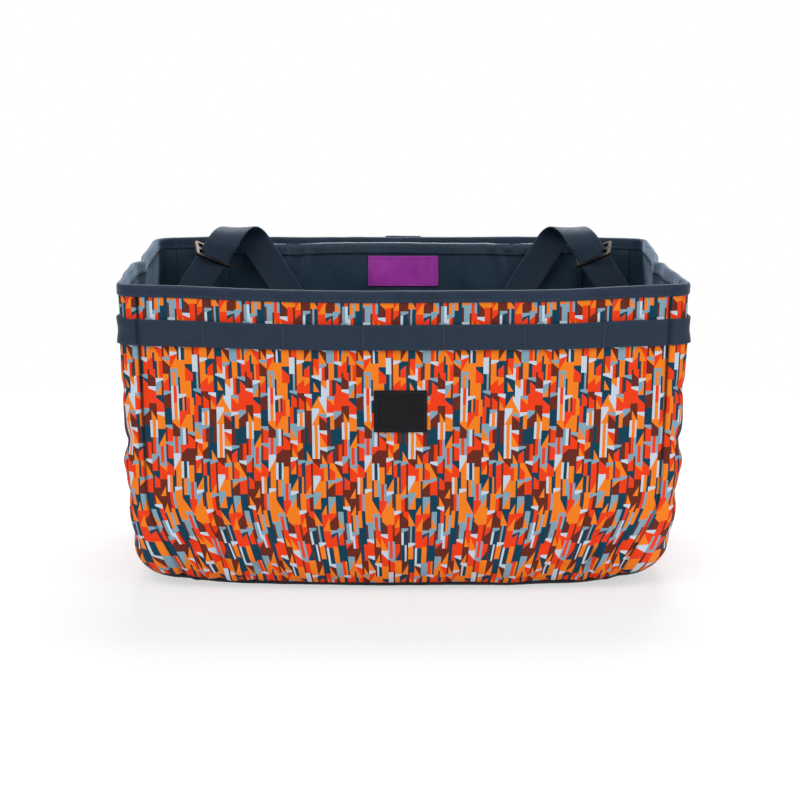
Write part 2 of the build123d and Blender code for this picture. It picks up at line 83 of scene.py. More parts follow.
# =========================================================================== shader nodes
class Graph:
    """A node tree with short calls for the nodes that the finishes use."""

    def __init__(self, tree: NodeTree) -> None:
        """Args: tree: the tree that the nodes are added to."""
        self.tree = tree

    def node(self, kind: str, **settings: object) -> bpy.types.Node:
        """Adds a node and sets its properties."""
        made = self.tree.nodes.new(kind)
        for name, value in settings.items():
            setattr(made, name, value)
        return made

    def feed(self, socket: NodeSocket, value: object) -> None:
        """Links a socket to another, or gives it a plain value."""
        if isinstance(value, NodeSocket):
            self.tree.links.new(value, socket)
        else:
            socket.default_value = value

    def math(self, operation: str, *values: object) -> NodeSocket:
        """The result of a Math node on one to three values."""
        made = self.node("ShaderNodeMath", operation=operation)
        for socket, value in zip(made.inputs, values):
            self.feed(socket, value)
        return made.outputs[0]

    def mix(self, share: object, low: object, high: object) -> NodeSocket:
        """A number between low and high."""
        made = self.node("ShaderNodeMix", data_type="FLOAT")
        for name, value in (("Factor", share), ("A", low), ("B", high)):
            self.feed(made.inputs[name], value)
        return made.outputs["Result"]

    def blend(self, share: object, low: object, high: object) -> NodeSocket:
        """A colour between two colours."""
        made = self.node("ShaderNodeMix", data_type="RGBA")
        self.feed(made.inputs[0], share)
        for socket, value in ((made.inputs[6], low), (made.inputs[7], high)):
            self.feed(socket, (*value, 1.0) if isinstance(value, tuple) and len(value) == 3 else value)
        return made.outputs[2]

    def split(self, vector: object) -> tuple[NodeSocket, NodeSocket, NodeSocket]:
        """The three parts of a vector."""
        made = self.node("ShaderNodeSeparateXYZ")
        self.feed(made.inputs[0], vector)
        return made.outputs[0], made.outputs[1], made.outputs[2]

    def join(self, x: object, y: object, z: object = 0.0) -> NodeSocket:
        """A vector from three numbers."""
        made = self.node("ShaderNodeCombineXYZ")
        for socket, value in zip(made.inputs, (x, y, z)):
            self.feed(socket, value)
        return made.outputs[0]

    def noise(self, vector: object, scale: float, detail: float = 2.0) -> NodeSocket:
        """Noise from 0 to 1 on a vector."""
        made = self.node("ShaderNodeTexNoise")
        self.feed(made.inputs["Vector"], vector)
        made.inputs["Scale"].default_value = scale
        made.inputs["Detail"].default_value = detail
        return made.outputs["Fac"]

    def wrapped(self, value: object, times: float) -> NodeSocket:
        """The fraction that is left of a number times another, which makes a second chance out of a first."""
        return self.math("FRACT", self.math("MULTIPLY", value, times))

    def span(
        self, value: object, low: float, high: float, to_low: float = 0.0, to_high: float = 1.0,
    ) -> NodeSocket:
        """A value mapped from one range to another and kept inside it."""
        made = self.node("ShaderNodeMapRange", clamp=True)
        for socket, number in zip(made.inputs, (value, low, high, to_low, to_high)):
            self.feed(socket, number)
        return made.outputs[0]

    def stretched(self, vector: object, scale: tuple[float, float, float]) -> NodeSocket:
        """A vector scaled by its three parts."""
        made = self.node("ShaderNodeMapping")
        self.feed(made.inputs["Vector"], vector)
        made.inputs["Scale"].default_value = scale
        return made.outputs[0]


def make_group(
    name: str, inputs: dict[str, float], outputs: Sequence[str],
) -> tuple[NodeTree, Graph, bpy.types.Node, bpy.types.Node]:
    """Starts a shader node group, which takes a vector and some numbers and gives numbers.

    Args:
        name: the group's name.
        inputs: the default value of each number that it takes.
        outputs: the name of each number that it gives.

    Returns:
        The group, its Graph, its input node and its output node.
    """
    group = bpy.data.node_groups.new(name, "ShaderNodeTree")
    group.interface.new_socket(name="Vector", in_out="INPUT", socket_type="NodeSocketVector")
    for title, value in inputs.items():
        socket = group.interface.new_socket(name=title, in_out="INPUT", socket_type="NodeSocketFloat")
        socket.default_value = value
    for title in outputs:
        group.interface.new_socket(name=title, in_out="OUTPUT", socket_type="NodeSocketFloat")
    graph = Graph(group)
    return group, graph, graph.node("NodeGroupInput"), graph.node("NodeGroupOutput")


class Effects:
    """Shader groups that more than one finish uses, each built once."""

    _made: dict[str, NodeTree] = {}

    @classmethod
    def get(cls, name: str) -> NodeTree:
        """The named group, built when it is first asked for."""
        if name not in cls._made:
            cls._made[name] = getattr(cls, name)()
        return cls._made[name]

    @staticmethod
    def weave() -> NodeTree:
        """Over-and-under threads: their height, and a mask of the gaps between them, where the finishes paint
        shade.
        """
        group, g, given, result = make_group("weave", {"Pitch": 0.0006, "Rib": 1.0}, ("Height", "Gap"))
        x, y, _ = g.split(given.outputs["Vector"])
        across = g.math("DIVIDE", x, given.outputs["Pitch"])
        along = g.math("DIVIDE", y, g.math("MULTIPLY", given.outputs["Pitch"], given.outputs["Rib"]))
        over_x = g.math("ABSOLUTE", g.math("SINE", g.math("MULTIPLY", across, pi)))
        over_y = g.math("ABSOLUTE", g.math("SINE", g.math("MULTIPLY", along, pi)))
        cell = g.math("ADD", g.math("FLOOR", across), g.math("FLOOR", along))
        odd = g.math("ABSOLUTE", g.math("MODULO", cell, 2.0))
        height = g.mix(odd, g.math("MULTIPLY", over_x, g.math("POWER", over_y, 0.35)),
                       g.math("MULTIPLY", over_y, g.math("POWER", over_x, 0.35)))
        g.feed(result.inputs["Height"], height)
        g.feed(result.inputs["Gap"], g.span(height, 0.35, 0.0))
        return group

    @staticmethod
    def mosaic() -> NodeTree:
        """A patchwork of upright cells, each cut into a pennant, two halves, a slanted cut or a stripe.

        Returns:
            The group. First and Second are a cell's two inks as numbers from 0 to 1, Share is 1 where the
            second shows, and Dark and Light mask the dark edges and the pale caps of some cells.
        """
        group, g, given, result = make_group(
            "mosaic", {"Width": 0.0056, "Height": 0.0130, "Repeat": 13.0},
            ("First", "Second", "Share", "Dark", "Light"))
        x, y, _ = g.split(given.outputs["Vector"])
        u = g.math("DIVIDE", x, given.outputs["Width"])
        column = g.math("FLOOR", u)
        across = g.math("FRACT", u)
        column_id = g.math("FLOORED_MODULO", column, given.outputs["Repeat"])
        lift = g.node("ShaderNodeTexWhiteNoise", noise_dimensions="1D")
        g.feed(lift.inputs["W"], g.math("ADD", column_id, 0.31))
        v = g.math("ADD", g.math("DIVIDE", y, given.outputs["Height"]), lift.outputs["Value"])
        row = g.math("FLOOR", v)
        up = g.math("FRACT", v)
        row_id = g.math("FLOORED_MODULO", row, given.outputs["Repeat"])
        dice = g.node("ShaderNodeTexWhiteNoise", noise_dimensions="2D")
        g.feed(dice.inputs["Vector"], g.join(g.math("ADD", column_id, 0.5), g.math("ADD", row_id, 0.5)))
        split = g.node("ShaderNodeSeparateColor")
        g.feed(split.inputs[0], dice.outputs["Color"])
        shape = dice.outputs["Value"]
        mirrored = g.math("GREATER_THAN", g.wrapped(shape, 7.0), 0.5)
        lean = g.mix(mirrored, across, g.math("SUBTRACT", 1.0, across))
        pennant = g.math("GREATER_THAN", g.math("MULTIPLY", up, 1.25), lean)
        halves = g.math("GREATER_THAN", lean, 0.48)
        cut = g.math("GREATER_THAN", up, g.math("ADD", 0.45, g.math("MULTIPLY", lean, 0.4)))
        stripe = g.math("LESS_THAN", g.math("ABSOLUTE", g.math("SUBTRACT", lean, 0.55)), 0.22)
        motif = g.mix(g.math("GREATER_THAN", shape, 0.34), pennant, halves)
        motif = g.mix(g.math("GREATER_THAN", shape, 0.60), motif, cut)
        motif = g.mix(g.math("GREATER_THAN", shape, 0.85), motif, stripe)
        first, other, _ = split.outputs
        g.feed(result.inputs["First"], first)
        g.feed(result.inputs["Second"], g.math("FRACT", g.math("ADD", other, g.math("MULTIPLY", first, 0.5))))
        g.feed(result.inputs["Share"], motif)
        edge = g.math("GREATER_THAN", lean, 0.74)
        some = g.math("LESS_THAN", g.wrapped(shape, 13.0), 0.55)
        g.feed(result.inputs["Dark"], g.math("MULTIPLY", edge, some))
        cap = g.math("GREATER_THAN", up, g.math("ADD", 0.72, g.math("MULTIPLY", lean, 0.16)))
        few = g.math("LESS_THAN", g.wrapped(shape, 29.0), 0.38)
        g.feed(result.inputs["Light"], g.math("MULTIPLY", cap, few))
        return group

    @staticmethod
    def crumple() -> NodeTree:
        """Small soft creases of a handled cloth, as a height, and a Shade mask that rises with it, which the
        plain cloths use to paint light on the swells and shade in the hollows.
        """
        group, g, given, result = make_group("crumple", {"Scale": 40.0}, ("Height", "Shade"))
        made = g.node("ShaderNodeTexNoise")
        g.feed(made.inputs["Vector"], given.outputs["Vector"])
        g.feed(made.inputs["Scale"], given.outputs["Scale"])
        made.inputs["Detail"].default_value = 3.0
        made.inputs["Distortion"].default_value = 0.8
        swell = made.outputs["Fac"]
        off_middle = g.math("MULTIPLY", g.math("SUBTRACT", swell, 0.5), 4.0)
        ridge = g.math("SUBTRACT", 1.0, g.math("ABSOLUTE", off_middle))
        height = g.math("ADD", g.math("MULTIPLY", swell, 0.6), g.math("MULTIPLY", ridge, 0.25))
        g.feed(result.inputs["Height"], height)
        g.feed(result.inputs["Shade"], g.span(swell, 0.3, 0.7))
        return group

    @staticmethod
    def grain() -> NodeTree:
        """Fine grain of moulded plastic or blasted metal, and dull patches from handling."""
        group, g, given, result = make_group("grain", {"Scale": 900.0}, ("Height", "Patch"))
        fine = g.node("ShaderNodeTexNoise")
        g.feed(fine.inputs["Vector"], given.outputs["Vector"])
        g.feed(fine.inputs["Scale"], given.outputs["Scale"])
        g.feed(result.inputs["Height"], fine.outputs["Fac"])
        g.feed(result.inputs["Patch"], g.span(g.noise(given.outputs["Vector"], 45.0, 4.0), 0.42, 0.66))
        return group


def placed(graph: Graph, name: str, **inputs: object) -> bpy.types.Node:
    """Puts a shared group into a material with that material's own values."""
    made = graph.node("ShaderNodeGroup")
    made.node_tree = Effects.get(name)
    for title, value in inputs.items():
        graph.feed(made.inputs[title], value)
    return made


class Place(Enum):
    """Where a material's pattern is fixed."""

    CLOTH = "UV"
    OBJECT = "Object"


def new_material(name: str, place: Place) -> tuple[Material, Graph, bpy.types.Node, NodeSocket]:
    """Starts a material.

    Args:
        name: the material's name.
        place: the coordinates that its pattern follows.

    Returns:
        The material, its Graph, its Principled BSDF and the coordinates.
    """
    material = bpy.data.materials.new(name)
    material.use_nodes = True
    graph = Graph(material.node_tree)
    shader = material.node_tree.nodes["Principled BSDF"]
    coordinates = graph.node("ShaderNodeTexCoord").outputs[place.value]
    return material, graph, shader, coordinates


def bumped(graph: Graph, shader: bpy.types.Node, heights: Sequence[tuple[object, float, float]]) -> None:
    """Chains Bump nodes into a shader's normal; each height comes with its strength and depth."""
    previous: Optional[NodeSocket] = None
    for height, strength, depth in heights:
        bump = graph.node("ShaderNodeBump")
        bump.inputs["Strength"].default_value = strength
        bump.inputs["Distance"].default_value = depth
        graph.feed(bump.inputs["Height"], height)
        if previous is not None:
            graph.feed(bump.inputs["Normal"], previous)
        previous = bump.outputs["Normal"]
    graph.feed(shader.inputs["Normal"], previous)


def napped(shader: bpy.types.Node, sheen: float, shine: float) -> None:
    """Gives a cloth its nap, a cool glow along its edges, and keeps its shine low."""
    shader.inputs["Sheen Weight"].default_value = sheen
    shader.inputs["Sheen Roughness"].default_value = 0.35
    shader.inputs["Sheen Tint"].default_value = (0.6, 0.8, 1.0, 1.0)
    shader.inputs["Specular IOR Level"].default_value = shine


@dataclass(frozen=True)
class PrintedCloth:
    """Coated cotton with the mosaic print."""

    seam: float  # from the front's middle to each of its seams, along the cloth
    name: str = "printed_cloth"
    orange: Color = (1.0, 0.235, 0.010)
    red: Color = (0.95, 0.050, 0.004)
    petrol: Color = (0.001, 0.050, 0.088)
    brown: Color = (0.150, 0.022, 0.010)
    blue_grey: Color = (0.24, 0.40, 0.48)
    pale: Color = (0.62, 0.72, 0.80)
    # painted shade, laid along the front's seams
    painted_seam_shade: Color = (0.012, 0.012, 0.016)
    roughness: float = 0.78

    def build(self) -> Material:
        """The print's six inks on a fine plain weave, with painted shade darkening the front's seams."""
        material, g, shader, uv = new_material(self.name, Place.CLOTH)
        around, up, _ = g.split(uv)
        drift = g.noise(uv, 9.0)
        shifted = g.join(g.math("ADD", around, g.math("MULTIPLY", drift, 0.004)), up)
        print_node = placed(g, "mosaic", Vector=shifted)
        first = self.inks(g, print_node.outputs["First"])
        second = self.inks(g, print_node.outputs["Second"])
        color = g.blend(print_node.outputs["Share"], first, second)
        dark = g.blend(g.math("GREATER_THAN", print_node.outputs["Second"], 0.5), self.petrol, self.brown)
        paler = g.math("GREATER_THAN", print_node.outputs["First"], 0.55)
        light = g.blend(paler, self.pale, self.blue_grey)
        color = g.blend(print_node.outputs["Dark"], color, dark)
        color = g.blend(print_node.outputs["Light"], color, light)
        weave = placed(g, "weave", Vector=uv, Pitch=0.00045)
        crumple = placed(g, "crumple", Vector=uv, Scale=60.0)
        # painted shade in the gaps between the threads
        color = g.blend(g.math("MULTIPLY", weave.outputs["Gap"], 0.25), color, (0.02, 0.02, 0.025))
        # painted shade: the cloth darkens along each front seam, less near the base
        off_seam = g.math("ABSOLUTE", g.math("SUBTRACT", g.math("ABSOLUTE", around), self.seam))
        pressed = g.span(up, 0.02, 0.16, 0.35, 0.85)
        shade = g.math("MULTIPLY", g.span(off_seam, 0.0008, 0.0024, 1.0, 0.0), pressed)
        color = g.blend(shade, color, self.painted_seam_shade)
        g.feed(shader.inputs["Base Color"], color)
        rough = g.mix(crumple.outputs["Shade"], self.roughness - 0.06, self.roughness + 0.08)
        g.feed(shader.inputs["Roughness"], rough)
        shader.inputs["Specular IOR Level"].default_value = 0.2
        bumped(g, shader, [(weave.outputs["Height"], 0.18, 0.00012),
                           (crumple.outputs["Height"], 0.35, 0.0009)])
        return material

    def inks(self, g: Graph, value: NodeSocket) -> NodeSocket:
        """One of the six inks, by a number from 0 to 1, in stepped shares."""
        ramp = g.node("ShaderNodeValToRGB")
        ramp.color_ramp.interpolation = "CONSTANT"
        stops = ((0.0, self.orange), (0.33, self.petrol), (0.50, self.red), (0.73, self.brown),
                 (0.84, self.pale), (0.92, self.blue_grey))
        elements = ramp.color_ramp.elements
        while len(elements) < len(stops):
            elements.new(0.5)
        for element, (position, ink) in zip(elements, stops):
            element.position = position
            element.color = (*ink, 1.0)
        g.feed(ramp.inputs[0], value)
        return ramp.outputs[0]


@dataclass(frozen=True)
class PlainCloth:
    """A woven cloth or tape in one colour: lining, tape, base cloth, satin and patch."""

    name: str
    color: Color
    # the lighter colour, painted on the swells of the creases as light
    light: Color
    pitch: float = 0.0005
    rib: float = 1.0
    roughness: float = 0.6
    sheen: float = 0.3
    weave_depth: float = 0.00012
    crease_depth: float = 0.0009
    crease_scale: float = 45.0
    shine: float = 0.2  # specular level

    def build(self) -> Material:
        """Threads with painted shade in their gaps, painted light and shade that follow the creases, and
        small creases.
        """
        material, g, shader, uv = new_material(self.name, Place.CLOTH)
        weave = placed(g, "weave", Vector=uv, Pitch=self.pitch, Rib=self.rib)
        crumple = placed(g, "crumple", Vector=uv, Scale=self.crease_scale)
        # painted light and shade: lighter where the creases swell out, darker in their hollows
        color = g.blend(crumple.outputs["Shade"], self.color, self.light)
        # painted shade: darker in the gaps between the threads
        dark = tuple(part * 0.35 for part in self.color)
        color = g.blend(g.math("MULTIPLY", weave.outputs["Gap"], 0.5), color, dark)
        g.feed(shader.inputs["Base Color"], color)
        rough = g.mix(crumple.outputs["Shade"], self.roughness - 0.08, self.roughness + 0.08)
        g.feed(shader.inputs["Roughness"], rough)
        napped(shader, self.sheen, self.shine)
        bumped(g, shader, [(weave.outputs["Height"], 0.5, self.weave_depth),
                           (crumple.outputs["Height"], 0.5, self.crease_depth)])
        return material


@dataclass(frozen=True)
class Webbing:
    """Narrow woven webbing: fine ribs along it, and a painted highlight along each edge."""

    name: str
    color: Color
    # the lighter colour: random streaks along the webbing, and the painted highlight along its edges
    light: Color
    half_width: float

    def build(self) -> Material:
        """The UV map runs along the webbing in u and across it in v, from its middle."""
        material, g, shader, uv = new_material(self.name, Place.CLOTH)
        along, across, _ = g.split(uv)
        ribs = placed(g, "weave", Vector=g.join(along, across), Pitch=0.0011, Rib=1.35)
        # painted highlight: a pale band just inside each edge
        edge = g.span(g.math("ABSOLUTE", across), self.half_width - 0.0018, self.half_width - 0.0012)
        color = g.blend(g.noise(g.stretched(uv, (60.0, 900.0, 1.0)), 1.0), self.color, self.light)
        # painted shade in the gaps between the ribs
        dark = tuple(part * 0.3 for part in self.color)
        color = g.blend(g.math("MULTIPLY", ribs.outputs["Gap"], 0.55), color, dark)
        color = g.blend(g.math("MULTIPLY", edge, 0.35), color, self.light)
        g.feed(shader.inputs["Base Color"], color)
        g.feed(shader.inputs["Roughness"], g.mix(ribs.outputs["Gap"], 0.52, 0.8))
        napped(shader, 0.15, 0.25)
        bumped(g, shader, [(ribs.outputs["Height"], 0.7, 0.00025)])
        return material


@dataclass(frozen=True)
class Thread:
    """Twisted sewing thread."""

    name: str
    color: Color

    def build(self) -> Material:
        """Slanted plies on a plain thread colour, with painted shade in the dips between them."""
        material, g, shader, place = new_material(self.name, Place.OBJECT)
        x, y, z = g.split(place)
        slant = g.math("ADD", g.math("ADD", x, y), z)
        plies = g.math("ABSOLUTE", g.math("SINE", g.math("MULTIPLY", slant, 5200.0)))
        # painted shade: darker where the plies dip
        color = g.blend(plies, tuple(part * 0.55 for part in self.color), self.color)
        g.feed(shader.inputs["Base Color"], color)
        g.feed(shader.inputs["Roughness"], g.mix(plies, 0.75, 0.5))
        shader.inputs["Sheen Weight"].default_value = 0.2
        bumped(g, shader, [(plies, 0.5, 0.0001)])
        return material


@dataclass(frozen=True)
class Hard:
    """Metal or moulded plastic with grain and dull patches."""

    name: str
    color: Color
    worn: Color
    metallic: float
    roughness: float
    grain: float = 900.0
    brushed: bool = False
    depth: float = 0.00006

    def build(self) -> Material:
        """Grain as bump, and a second tone and roughness in the handled patches."""
        material, g, shader, place = new_material(self.name, Place.OBJECT)
        spot = g.stretched(place, (1.0, 1.0, 0.06)) if self.brushed else place
        grain = placed(g, "grain", Vector=spot, Scale=self.grain)
        patch = grain.outputs["Patch"]
        g.feed(shader.inputs["Base Color"], g.blend(g.math("MULTIPLY", patch, 0.6), self.color, self.worn))
        g.feed(shader.inputs["Roughness"], g.mix(patch, self.roughness, min(self.roughness + 0.14, 1.0)))
        shader.inputs["Metallic"].default_value = self.metallic
        bumped(g, shader, [(grain.outputs["Height"], 0.35, self.depth)])
        return material


class Finishes:
    """Every finish of the basket, built once and found by its record slot."""

    def __init__(self, seam: float) -> None:
        """Builds all the materials.

        Args:
            seam: how far round the wall the front's seams are from its middle.
        """
        # navy_light gives random streaks in the band webbing, and painted light on the binding's crease
        # swells and along the webbing's edges
        navy, navy_light = (0.014, 0.028, 0.050), (0.022, 0.042, 0.072)
        self.print_fabric = PrintedCloth(seam).build()
        self.lining_fabric = PlainCloth(
            "lining_sateen", (0.016, 0.036, 0.057), (0.027, 0.054, 0.081), pitch=0.00035, rib=2.2,
            roughness=0.40, sheen=0.25, weave_depth=0.00005, crease_depth=0.0016, crease_scale=28.0).build()
        self.binding_tape = PlainCloth(
            "binding_tape", navy, navy_light, pitch=0.0007, rib=2.5, roughness=0.55, sheen=0.6,
            crease_depth=0.0006).build()
        self.webbing = Webbing("band_webbing", navy, navy_light, 10 * MM).build()
        self.strap_webbing = Webbing(
            "strap_webbing", (0.015, 0.030, 0.051), (0.028, 0.050, 0.082), 12.5 * MM).build()
        self.base_fabric = PlainCloth(
            "base_cloth", (0.008, 0.008, 0.010), (0.018, 0.018, 0.021), pitch=0.0011, roughness=0.7,
            sheen=0.15, weave_depth=0.0003).build()
        self.patch_fabric = PlainCloth(
            "patch_cloth", (0.006, 0.006, 0.007), (0.012, 0.012, 0.014), pitch=0.0004, roughness=0.75,
            sheen=0.1, crease_depth=0.0002).build()
        self.label_satin = PlainCloth(
            "label_satin", (0.37, 0.034, 0.36), (0.52, 0.055, 0.50), pitch=0.0003, rib=3.0, roughness=0.38,
            sheen=0.4, crease_depth=0.0003).build()
        self.navy_thread = Thread("navy_thread", (0.022, 0.036, 0.056)).build()
        self.lining_thread = Thread("lining_thread", (0.020, 0.038, 0.058)).build()
        self.black_thread = Thread("black_thread", (0.01, 0.01, 0.012)).build()
        self.purple_thread = Thread("purple_thread", (0.30, 0.05, 0.33)).build()
        self.adjuster_metal = Hard(
            "dark_bronze", (0.050, 0.040, 0.036), (0.13, 0.095, 0.075), metallic=1.0, roughness=0.34).build()
        self.frame_tube = Hard(
            "black_anodised", (0.018, 0.018, 0.02), (0.035, 0.035, 0.038), metallic=1.0,
            roughness=0.42).build()
        self.carrier_plate = Hard(
            "brushed_plate", (0.42, 0.42, 0.44), (0.3, 0.3, 0.31), metallic=1.0, roughness=0.34,
            brushed=True).build()
        self.block_plastic = Hard(
            "moulded_block", (0.016, 0.016, 0.017), (0.03, 0.03, 0.031), metallic=0.0, roughness=0.5,
            grain=1400.0).build()
        self.fastener = Hard(
            "zinc_steel", (0.5, 0.5, 0.52), (0.32, 0.32, 0.33), metallic=1.0, roughness=0.3).build()


# =========================================================================== mesh helpers
def finished(bm: bmesh.types.BMesh, name: str, material: Material, smooth: bool = True) -> Object:
    """Turns a bmesh into an object at the origin with one material.

    Args:
        bm: the shape, which is freed.
        name: the piece's name.
        material: its finish.
        smooth: whether its faces are shaded smooth.

    Returns:
        The new object.
    """
    for face in bm.faces:
        face.smooth = smooth
    mesh = bpy.data.meshes.new(name)
    bm.to_mesh(mesh)
    bm.free()
    mesh.materials.append(material)
    piece = bpy.data.objects.new(name, mesh)
    bpy.context.scene.collection.objects.link(piece)
    return piece


def thicken(piece: Object, thickness: float, even: bool = True) -> None:
    """Gives a sheet its wall, half of it on each side, kept even at bends unless the sheet is trimmed."""
    wall = piece.modifiers.new("thickness", "SOLIDIFY")
    wall.thickness = thickness
    wall.offset = 0.0
    wall.use_even_offset = even


def soften(piece: Object) -> None:
    """Smooths a piece by one subdivision, alike in view and render."""
    smooth = piece.modifiers.new("smooth", "SUBSURF")
    smooth.levels = smooth.render_levels = 1


def rounded(a: float, b: float, half_w: float, half_h: float, corner: float) -> Spot:
    """A spot of a square cut, drawn in to rounded corners.

    Args:
        a: how far across it is from the middle.
        b: how far up it is from the middle.
        half_w: half of the cut's width.
        half_h: half of its height.
        corner: the corners' radius.

    Returns:
        The spot where it comes to lie.
    """
    in_a, in_b = abs(a) - (half_w - corner), abs(b) - (half_h - corner)
    if in_a <= 0 or in_b <= 0:
        return a, b
    share = max(in_a, in_b) / hypot(in_a, in_b)
    far_a, far_b = half_w - corner + in_a * share, half_h - corner + in_b * share
    return far_a if a > 0 else -far_a, far_b if b > 0 else -far_b


def mapped_sheet(
    name: str, material: Material, size: tuple[float, float], steps: tuple[int, int],
    place: Callable[[float, float], Vector], corner: Spot,
) -> Object:
    """A flat cut of cloth laid onto a form.

    Args:
        name: the piece's name.
        material: its finish.
        size: the cut's width and height.
        steps: how many cells it has each way.
        place: gives the place in space of a spot on the cut.
        corner: the cut's lower left corner, in the coordinates that place takes and the UV map keeps.

    Returns:
        The new object, with a UV map in metres.
    """
    bm = bmesh.new()
    bmesh.ops.create_grid(bm, x_segments=steps[0], y_segments=steps[1], size=0.5)
    cut = {}
    for vert in bm.verts:
        across, up = vert.co.x + 0.5, vert.co.y + 0.5
        cut[vert.index] = (corner[0] + across * size[0], corner[1] + up * size[1])
    layer = bm.loops.layers.uv.new("cloth")
    for face in bm.faces:
        for loop in face.loops:
            loop[layer].uv = cut[loop.vert.index]
    for vert in bm.verts:
        vert.co = place(*cut[vert.index])
    return finished(bm, name, material)


def with_uv(bm: bmesh.types.BMesh, across: Vector, up: Vector) -> None:
    """Gives a bmesh a UV map in metres, projected along two directions."""
    layer = bm.loops.layers.uv.new("cloth")
    for face in bm.faces:
        for loop in face.loops:
            loop[layer].uv = (loop.vert.co.dot(across), loop.vert.co.dot(up))


@dataclass(frozen=True)
class Stitching:
    """A row of stitches."""

    length: float = 2.6 * MM
    pitch: float = 3.5 * MM
    thick: float = 0.42 * MM

    def sew(self, name: str, material: Material, rows: Iterable[Row]) -> Object:
        """Sews stitches along paths.

        Args:
            name: the piece's name.
            material: the thread.
            rows: the rows.

        Returns:
            One object that holds every stitch.
        """
        bm = bmesh.new()
        for place, length in rows:
            count = max(int(length / self.pitch), 1)
            for step in range(count):
                middle = (step + 0.5) * length / count
                start, end = place(middle - self.length / 2), place(middle + self.length / 2)
                self.stitch(bm, start, end)
        return finished(bm, name, material)

    def stitch(self, bm: bmesh.types.BMesh, start: Vector, end: Vector) -> None:
        """Adds one stitch, a small rounded thread from one point to another."""
        way = end - start
        turn = way.to_track_quat("Z", "Y").to_matrix().to_4x4()
        shape = Matrix.Diagonal((self.thick, self.thick, way.length / 2, 1.0))
        bmesh.ops.create_uvsphere(
            bm, u_segments=6, v_segments=4, radius=1.0,
            matrix=Matrix.Translation((start + end) / 2) @ turn @ shape,
        )


def line_row(start: Spot, end: Spot, place: Callable[[float, float], Vector]) -> Row:
    """A straight row of stitches from one spot of a cut to another, laid where the cut goes."""
    across, up = end[0] - start[0], end[1] - start[1]
    length = hypot(across, up)
    return lambda d: place(start[0] + across * d / length, start[1] + up * d / length), length


def box_rows(half_w: float, half_h: float, place: Callable[[float, float], Vector]) -> list[Row]:
    """The four rows of a stitched box."""
    ends = [(-half_w, -half_h), (half_w, -half_h), (half_w, half_h), (-half_w, half_h)]
    return [line_row(start, end, place) for start, end in zip(ends, ends[1:] + ends[:1])]


# =========================================================================== the soft wall
@dataclass(frozen=True)
class Crease:
    """A fold pressed into the wall along a line on the cloth."""

    start: Spot
    end: Spot
    width: float
    depth: float

    @classmethod
    def beside(cls, seam: float, side: int, stretch: float, sizes: Sequence[float]) -> "Crease":
        """A fold placed from a seam.

        Args:
            seam: how far the seam is from the front's middle.
            side: 1 for the right seam, -1 for the left one.
            stretch: how much further from the seam it lies than its sizes say, less than zero on the front.
            sizes: its start and end, each as the distance from the seam and up the cloth, then its width and
                depth, in millimetres.

        Returns:
            The fold.
        """
        s0, v0, s1, v1, width, depth = (size * MM for size in sizes)
        return cls((side * (seam + stretch * s0), v0), (side * (seam + stretch * s1), v1), width, depth)

    def near(self, s: float, v: float) -> bool:
        """Whether the fold reaches a spot at all."""
        reach = 2.5 * self.width
        return (min(self.start[0], self.end[0]) - reach < s < max(self.start[0], self.end[0]) + reach
                and min(self.start[1], self.end[1]) - reach < v < max(self.start[1], self.end[1]) + reach)

    def push(self, s: float, v: float) -> float:
        """How far the fold moves the cloth outwards at a spot, less than zero when it goes in."""
        across, up = self.end[0] - self.start[0], self.end[1] - self.start[1]
        share = ((s - self.start[0]) * across + (v - self.start[1]) * up) / (across * across + up * up)
        held = min(max(share, 0.0), 1.0)
        distance = hypot(s - self.start[0] - held * across, v - self.start[1] - held * up)
        return -self.depth * hump(distance, self.width) * (0.45 + 0.55 * sin(pi * held))


class Side(Enum):
    """The stretches of the wall, in order round it from the front's left end."""

    FRONT = 0
    RIGHT_FRONT = 1
    RIGHT = 2
    RIGHT_BACK = 3
    BACK = 4
    LEFT_BACK = 5
    LEFT = 6
    LEFT_FRONT = 7


